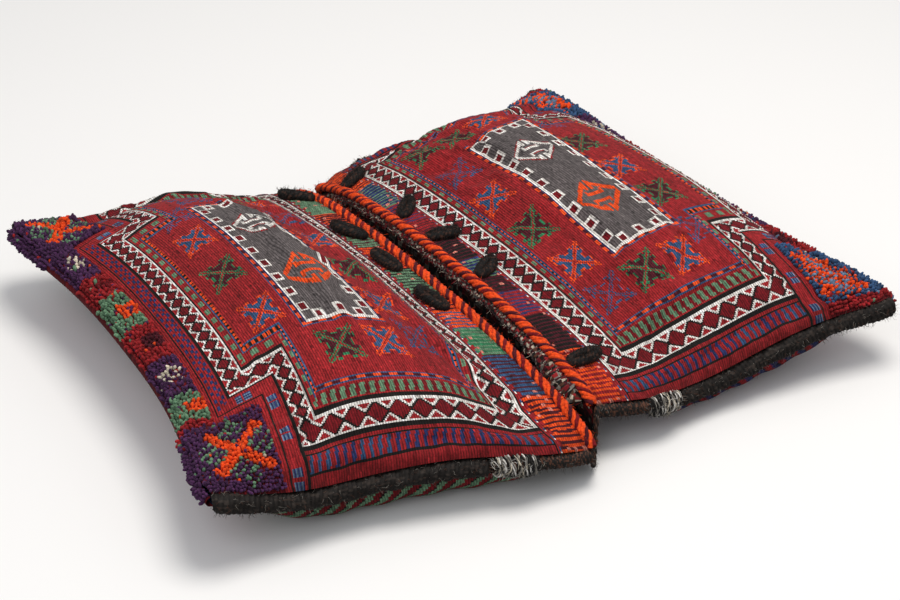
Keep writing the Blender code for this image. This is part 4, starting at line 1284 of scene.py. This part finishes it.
def dress_corner_knot(hand, end):
    """Grey and white hair wound round the cord near the mouth's corner, in loose curling turns."""
    back = end == "back"
    outward = 1 if back else -1
    count = 46
    path = pouch_form(hand).edge(back, np.linspace(*KNOT_RUN, count))
    swell = 0.72 + 0.28 * np.sin(math.pi * np.linspace(0, 1, count))
    rng = np.random.default_rng(SEEDS["knot"])
    height, depth = (size * swell[:, None] for size in KNOT_SIZE)
    points, angle = half_round(path, outward, 0.0006, depth, height / 2)
    faces = grid_faces(count, HALF_SIDES, False)
    parts = [(points.reshape(-1, 3), faces, pick_colours(rng, len(faces), ("black", "black", "brown"), 0.3))]
    for k in range(KNOT_TURNS):
        start = rng.random() * 0.94
        turn = np.linspace(-1.45, 1.45, 16)
        place = start + 0.10 * (turn / 3 + 0.5) * rng.normal() + 0.02 * np.sin(3 * turn + k)
        place = place.clip(0, 1) * (count - 1)
        line = np.stack([np.interp(place, np.arange(count), path[:, c]) for c in range(3)], 1)
        stand = 0.0006 + 0.0022 * rng.random() + 0.0012 * np.sin(4 * turn + 2 * k)
        wide = np.interp(place, np.arange(count), swell)
        line[:, 1] += outward * (0.0126 * wide * np.cos(turn) + stand)
        line[:, 2] += 0.0112 * wide * np.sin(turn) + stand * np.sin(turn)
        line_points, faces = tube(line, 0.00055 + 0.0004 * rng.random(), 5)
        tone = dyed(KNOT_THREADS[k % len(KNOT_THREADS)]) * (0.7 + 0.4 * rng.random())
        parts.append((line_points, faces, np.clip(tone, 0, 1)))
    hairs = HAIR_COUNTS["knot"]
    i, j = rng.integers(0, count, hairs), rng.integers(1, HALF_SIDES - 1, hairs)
    away = away_from(angle[j], outward)
    around = np.stack([0 * angle[j], -outward * np.sin(angle[j]), np.cos(angle[j])], 1)
    heading = around * rng.choice([-1.0, 1.0], (hairs, 1)) + 0.25 * away + 0.5 * rng.normal(size=(hairs, 3))
    colours = pick_colours(rng, hairs, ("ivory", "grey", "grey", "black", "black", "cream"), 0.2)
    parts.append(strands(rng, points[i, j] + away * 0.0012, heading, "knot", colours, 4))
    dress_node(f"{hand}_{end}_corner_knot", parts, "grey_wool")


def dress_lashing(end):
    """Thin cord along the bridge's edge from one knot down the valley to the other."""
    back = end == "back"
    outward = 1 if back else -1
    left, right = pouch_form("left"), pouch_form("right")
    line = np.array([STRIP_WIDTH if back else 0.0])
    start, finish = (f.read(f.under_inside, np.array([0.0]), line)[0] for f in (left, right))
    valley = []
    for share in np.linspace(0.1, 0.9, 9):
        point = start * (1 - share) + finish * share
        point[2] -= VALLEY_DEPTH * math.sin(math.pi * share) ** 2 + CLOTH / 2
        valley.append(point)
    places = np.linspace(0.0, LASHING_END, 12)
    path = np.concatenate([left.edge(back, places[::-1]), np.array(valley), right.edge(back, places)])
    dense = np.linspace(0, len(path) - 1, 150)
    path = np.stack([np.interp(dense, np.arange(len(path)), path[:, k]) for k in range(3)], 1)
    path = smooth_path(path, 6)
    count = len(path)
    rng = np.random.default_rng(SEEDS["lashing"])
    height, depth = LASHING_SIZE
    angle = np.linspace(-math.pi / 2, math.pi / 2, HALF_SIDES)
    relief = 1 + 0.10 * np.sin(2 * math.pi * np.arange(count)[:, None] / 4.0 + angle[None, :])
    points, angle = half_round(path, outward, 0.0005, depth, height, relief)
    points[..., 2] = np.maximum(points[..., 2], 0.001)
    faces = grid_faces(count, HALF_SIDES, False)
    parts = [(points.reshape(-1, 3), faces, pick_colours(rng, len(faces), ("black", "black", "brown")))]
    hairs = HAIR_COUNTS["lashing"]
    i, j = rng.integers(0, count, hairs), rng.integers(2, HALF_SIDES - 1, hairs)
    heading = away_from(angle[j], outward) + rng.normal(size=(hairs, 3)) * 0.8
    colours = pick_colours(rng, hairs, ("black", "brown", "grey"))
    parts.append(strands(rng, points[i, j], heading, "lashing", colours))
    dress_node(f"{end}_mouth_lashing", parts, "goat_hair")


def dress_loop(hand, number, centre):
    """A plaited goat-hair closure loop lying over its slit, drawn nearly shut."""
    form = pouch_form(hand)
    rng = np.random.default_rng(SEEDS["loop"] + number)
    count = 100
    turn = np.linspace(0, 2 * math.pi, count, endpoint=False)
    lean = LOOP_LEANS[hand][number - 1]
    reach, wide = LOOP_REACH[0] * np.cos(turn), LOOP_REACH[1] * np.sin(turn)
    along = np.maximum(LOOP_MIDDLE + reach * math.cos(lean) - wide * math.sin(lean), 0.003)
    across = centre + reach * math.sin(lean) + wide * math.cos(lean)
    normals = form.normal(along, across)
    height = LOOP_HEIGHT[0] + LOOP_HEIGHT[1] * np.cos(turn)
    path = form.read_grid(form.face, along, across) + normals * height[:, None]
    parts = []
    side, up = frames_along(path)
    dark = ("black", "black", "black", "brown")
    for k in range(3):
        twist = 8 * turn + 2 * math.pi * k / 3
        offset = LOOP_SPREAD * (side * np.cos(twist)[:, None] + up * np.sin(twist)[:, None])
        points, faces = tube(path + offset, LOOP_PLY, 8, closed=True)
        parts.append((points, faces, pick_colours(rng, len(faces), dark, 0.3) * 0.4))
    hairs = HAIR_COUNTS["loop"]
    i = rng.integers(0, count, hairs)
    away = unit(normals[i] + side[i] * rng.normal(size=(hairs, 1)) * 0.9)
    heading = away + 0.9 * rng.normal(size=(hairs, 3))
    colours = pick_colours(rng, hairs, dark) * 0.45
    parts.append(strands(rng, path[i] + away * 0.0045, heading, "loop", colours))
    dress_node(f"{hand}_closure_loop_{number}", parts, "goat_hair")


def dress_inner_lip():
    """The rolled reverse of the weave along the right mouth, thick at the front, full of yarn ends."""
    form = pouch_form("right")
    rng = np.random.default_rng(SEEDS["lip"])
    count, sides, stations = 260, 14, 600
    across = np.linspace(LIP_START, LIP_END, count)
    rim = form.surface(form.top, 3, stations)[0]
    share = (across - across[0]) / (across[-1] - across[0])
    thin, thick = LIP_RADIUS
    radius = thin + (thick - thin) * np.exp(-((share / 0.16) ** 1.6))
    radius = radius + 0.0010 * np.exp(-(((share - 0.5) / 0.25) ** 2))
    radius = radius * np.sqrt(np.clip(np.minimum(share, 1 - share) / 0.018, 0.05, 1))
    places = np.linspace(0, STRIP_WIDTH, stations)
    path = np.stack([np.interp(across, places, rim[:, k]) for k in range(3)], 1)
    path[:, 0] -= LIP_SHIFT[0] + radius * 0.8
    path[:, 2] -= LIP_SHIFT[1] + radius * 0.5
    path = smooth_path(path, 12)
    lumps = radius[:, None] * (1 + 0.16 * rng.normal(size=(count, sides)))
    side, up = frames_along(path)
    angle = 2 * math.pi * np.arange(sides)[None, :] / sides
    ring = path[:, None] + side[:, None] * (lumps * np.cos(angle))[..., None]
    ring = ring + up[:, None] * (lumps * np.sin(angle))[..., None]
    _, faces = tube(path, radius, sides)
    parts = [(ring.reshape(-1, 3), faces, pick_colours(rng, len(faces), LIP_THREADS, 0.4) * 0.75)]
    ends = HAIR_COUNTS["lip"]
    i, j = rng.integers(0, count, ends), rng.integers(0, sides, ends)
    away = unit(ring[i, j] - path[i])
    heading = away * 0.35 + 0.8 * rng.normal(size=(ends, 3))
    colours = pick_colours(rng, ends, LIP_THREADS + ("cream", "brick"), 0.45)
    parts.append(strands(rng, ring[i, j] - away * 0.001, heading, "lip", colours))
    join_parts("right_inner_lip", parts, "grey_wool")


def lay_floor():
    """Pale plain floor, wide enough to fill the view."""
    mesh = bpy.data.meshes.new("floor")
    ways = ((-1, -1), (1, -1), (1, 1), (-1, 1))
    mesh.from_pydata([(x * FLOOR_HALF, y * FLOOR_HALF, FLOOR_LEVEL) for x, y in ways], [], [(0, 1, 2, 3)])
    # Chalky white ground that shows only a soft shadow under the bag
    material = bpy.data.materials.new("studio_floor")
    material.use_nodes = True
    tree = material.node_tree
    shader = tree.nodes["Principled BSDF"]
    shader.inputs["Roughness"].default_value = 0.95
    shader.inputs["Specular IOR Level"].default_value = 0.0
    seen = add_node(tree, "ShaderNodeLightPath", (-700, 300))
    # The mix node's sockets share names, so they are taken by number: factor 0, colours 6 and 7
    tone = add_node(tree, "ShaderNodeMix", (-400, 300), {
        0: seen.outputs["Is Camera Ray"], 6: (*linear("a0a0a0"), 1.0), 7: (*linear("f6f6f5"), 1.0)},
        data_type="RGBA")
    tree.links.new(tone.outputs[2], shader.inputs["Base Color"])
    mesh.materials.append(material)
    floor = bpy.data.objects.new("floor", mesh)
    bpy.context.collection.objects.link(floor)


def soft_light(name, place, size, power, colour):
    """A large soft studio light that points at the bag."""
    light = bpy.data.lights.new(name, "AREA")
    light.shape = "DISK"
    light.size = size
    light.energy = power
    light.color = linear(colour)
    holder = bpy.data.objects.new(name, light)
    holder.location = place
    holder.rotation_euler = (Vector(LIGHT_AIM) - Vector(place)).to_track_quat("-Z", "Y").to_euler()
    bpy.context.collection.objects.link(holder)


def light_stage():
    """A bright even sky and two soft lights from above."""
    world = bpy.data.worlds.new("studio")
    world.use_nodes = True
    sky = world.node_tree.nodes["Background"]
    sky.inputs["Color"].default_value = (*linear("fdfdff"), 1.0)
    sky.inputs["Strength"].default_value = SKY_STRENGTH
    bpy.context.scene.world = world
    for light in LIGHTS:
        soft_light(*light)


def set_camera():
    """The photograph's point of view."""
    back = Vector((math.sin(CAMERA_TURN) * math.cos(CAMERA_HEIGHT),
                   -math.cos(CAMERA_TURN) * math.cos(CAMERA_HEIGHT), math.sin(CAMERA_HEIGHT)))
    right = Vector((math.cos(CAMERA_TURN), math.sin(CAMERA_TURN), 0.0))
    up = back.cross(right)
    camera = bpy.data.cameras.new("view")
    camera.lens = CAMERA_LENS
    camera.sensor_width = 36.0
    camera.clip_end = 50.0
    holder = bpy.data.objects.new("view", camera)
    turn = Matrix((right, up, back)).transposed().to_4x4()
    place = back * CAMERA_DISTANCE + right * CAMERA_OFFSET[0] + up * CAMERA_OFFSET[1]
    place -= Vector((BAG_MIDDLE[0], BAG_MIDDLE[1], 0.0))
    holder.matrix_world = Matrix.Translation(place) @ turn
    bpy.context.collection.objects.link(holder)
    bpy.context.scene.camera = holder
    bpy.context.scene.view_settings.view_transform = "Standard"


class BAG_OT_faces(bpy.types.Operator):
    """Weave the two patterned faces"""
    bl_idname = "saddlebag.faces"
    bl_label = "Pouch faces"

    def execute(self, context):
        for hand in POUCHES:
            dress_face(hand)
        return {"FINISHED"}


class BAG_OT_backs(bpy.types.Operator):
    """Weave the striped backs and the bridge"""
    bl_idname = "saddlebag.backs"
    bl_label = "Backs and bridge"

    def execute(self, context):
        for hand in POUCHES:
            dress_back(hand)
        dress_bridge()
        return {"FINISHED"}


class BAG_OT_pile(bpy.types.Operator):
    """Knot the pile along the outer folds"""
    bl_idname = "saddlebag.pile"
    bl_label = "Knotted pile"

    def execute(self, context):
        for hand in POUCHES:
            dress_pile(hand)
        return {"FINISHED"}


class BAG_OT_braids(bpy.types.Operator):
    """Twist the rim braids"""
    bl_idname = "saddlebag.braids"
    bl_label = "Rim braids"

    def execute(self, context):
        for hand in POUCHES:
            dress_braid(hand)
        return {"FINISHED"}


class BAG_OT_cords(bpy.types.Operator):
    """Overcast the side cords, corner knots and mouth lashings"""
    bl_idname = "saddlebag.cords"
    bl_label = "Side cords and knots"

    def execute(self, context):
        for end in ("front", "back"):
            for hand in POUCHES:
                dress_side_cord(hand, end)
                dress_corner_knot(hand, end)
            dress_lashing(end)
        return {"FINISHED"}


class BAG_OT_loops(bpy.types.Operator):
    """Plait the closure loops and leave the yarn ends in the valley"""
    bl_idname = "saddlebag.loops"
    bl_label = "Closure loops"

    def execute(self, context):
        for hand, places in LOOPS.items():
            for number, centre in enumerate(places, 1):
                dress_loop(hand, number, centre)
        dress_inner_lip()
        return {"FINISHED"}


class BAG_OT_stage(bpy.types.Operator):
    """Lay the floor, hang the lights and set the camera"""
    bl_idname = "saddlebag.stage"
    bl_label = "Stage"

    def execute(self, context):
        lay_floor()
        light_stage()
        set_camera()
        return {"FINISHED"}


class BAG_PT_panel(bpy.types.Panel):
    """Buttons for the bag's pieces"""
    bl_idname = "BAG_PT_panel"
    bl_label = "Kilim saddle bag"
    bl_space_type = "VIEW_3D"
    bl_region_type = "UI"
    bl_category = "Saddle Bag"

    def draw(self, context):
        layout = self.layout
        for group in (context.scene.bag_cloth, context.scene.bag_trim, context.scene.bag_threads):
            box = layout.box()
            for name in group.__annotations__:
                box.prop(group, name)
        for operator in OPERATORS:
            layout.operator(operator.bl_idname)


OPERATORS = (BAG_OT_faces, BAG_OT_backs, BAG_OT_pile, BAG_OT_braids, BAG_OT_cords, BAG_OT_loops,
             BAG_OT_stage)
CLASSES = (ThreadColours, ClothSettings, TrimSettings) + OPERATORS + (BAG_PT_panel,)


def register():
    for cls in CLASSES:
        bpy.utils.register_class(cls)
    bpy.types.Scene.bag_threads = PointerProperty(type=ThreadColours)
    bpy.types.Scene.bag_cloth = PointerProperty(type=ClothSettings)
    bpy.types.Scene.bag_trim = PointerProperty(type=TrimSettings)


def unregister():
    del bpy.types.Scene.bag_trim
    del bpy.types.Scene.bag_cloth
    del bpy.types.Scene.bag_threads
    for cls in reversed(CLASSES):
        bpy.utils.unregister_class(cls)


def main():
    register()
    bpy.ops.saddlebag.faces()
    bpy.ops.saddlebag.backs()
    bpy.ops.saddlebag.pile()
    bpy.ops.saddlebag.braids()
    bpy.ops.saddlebag.cords()
    bpy.ops.saddlebag.loops()
    bpy.ops.saddlebag.stage()


if __name__ == "__main__":
    main()
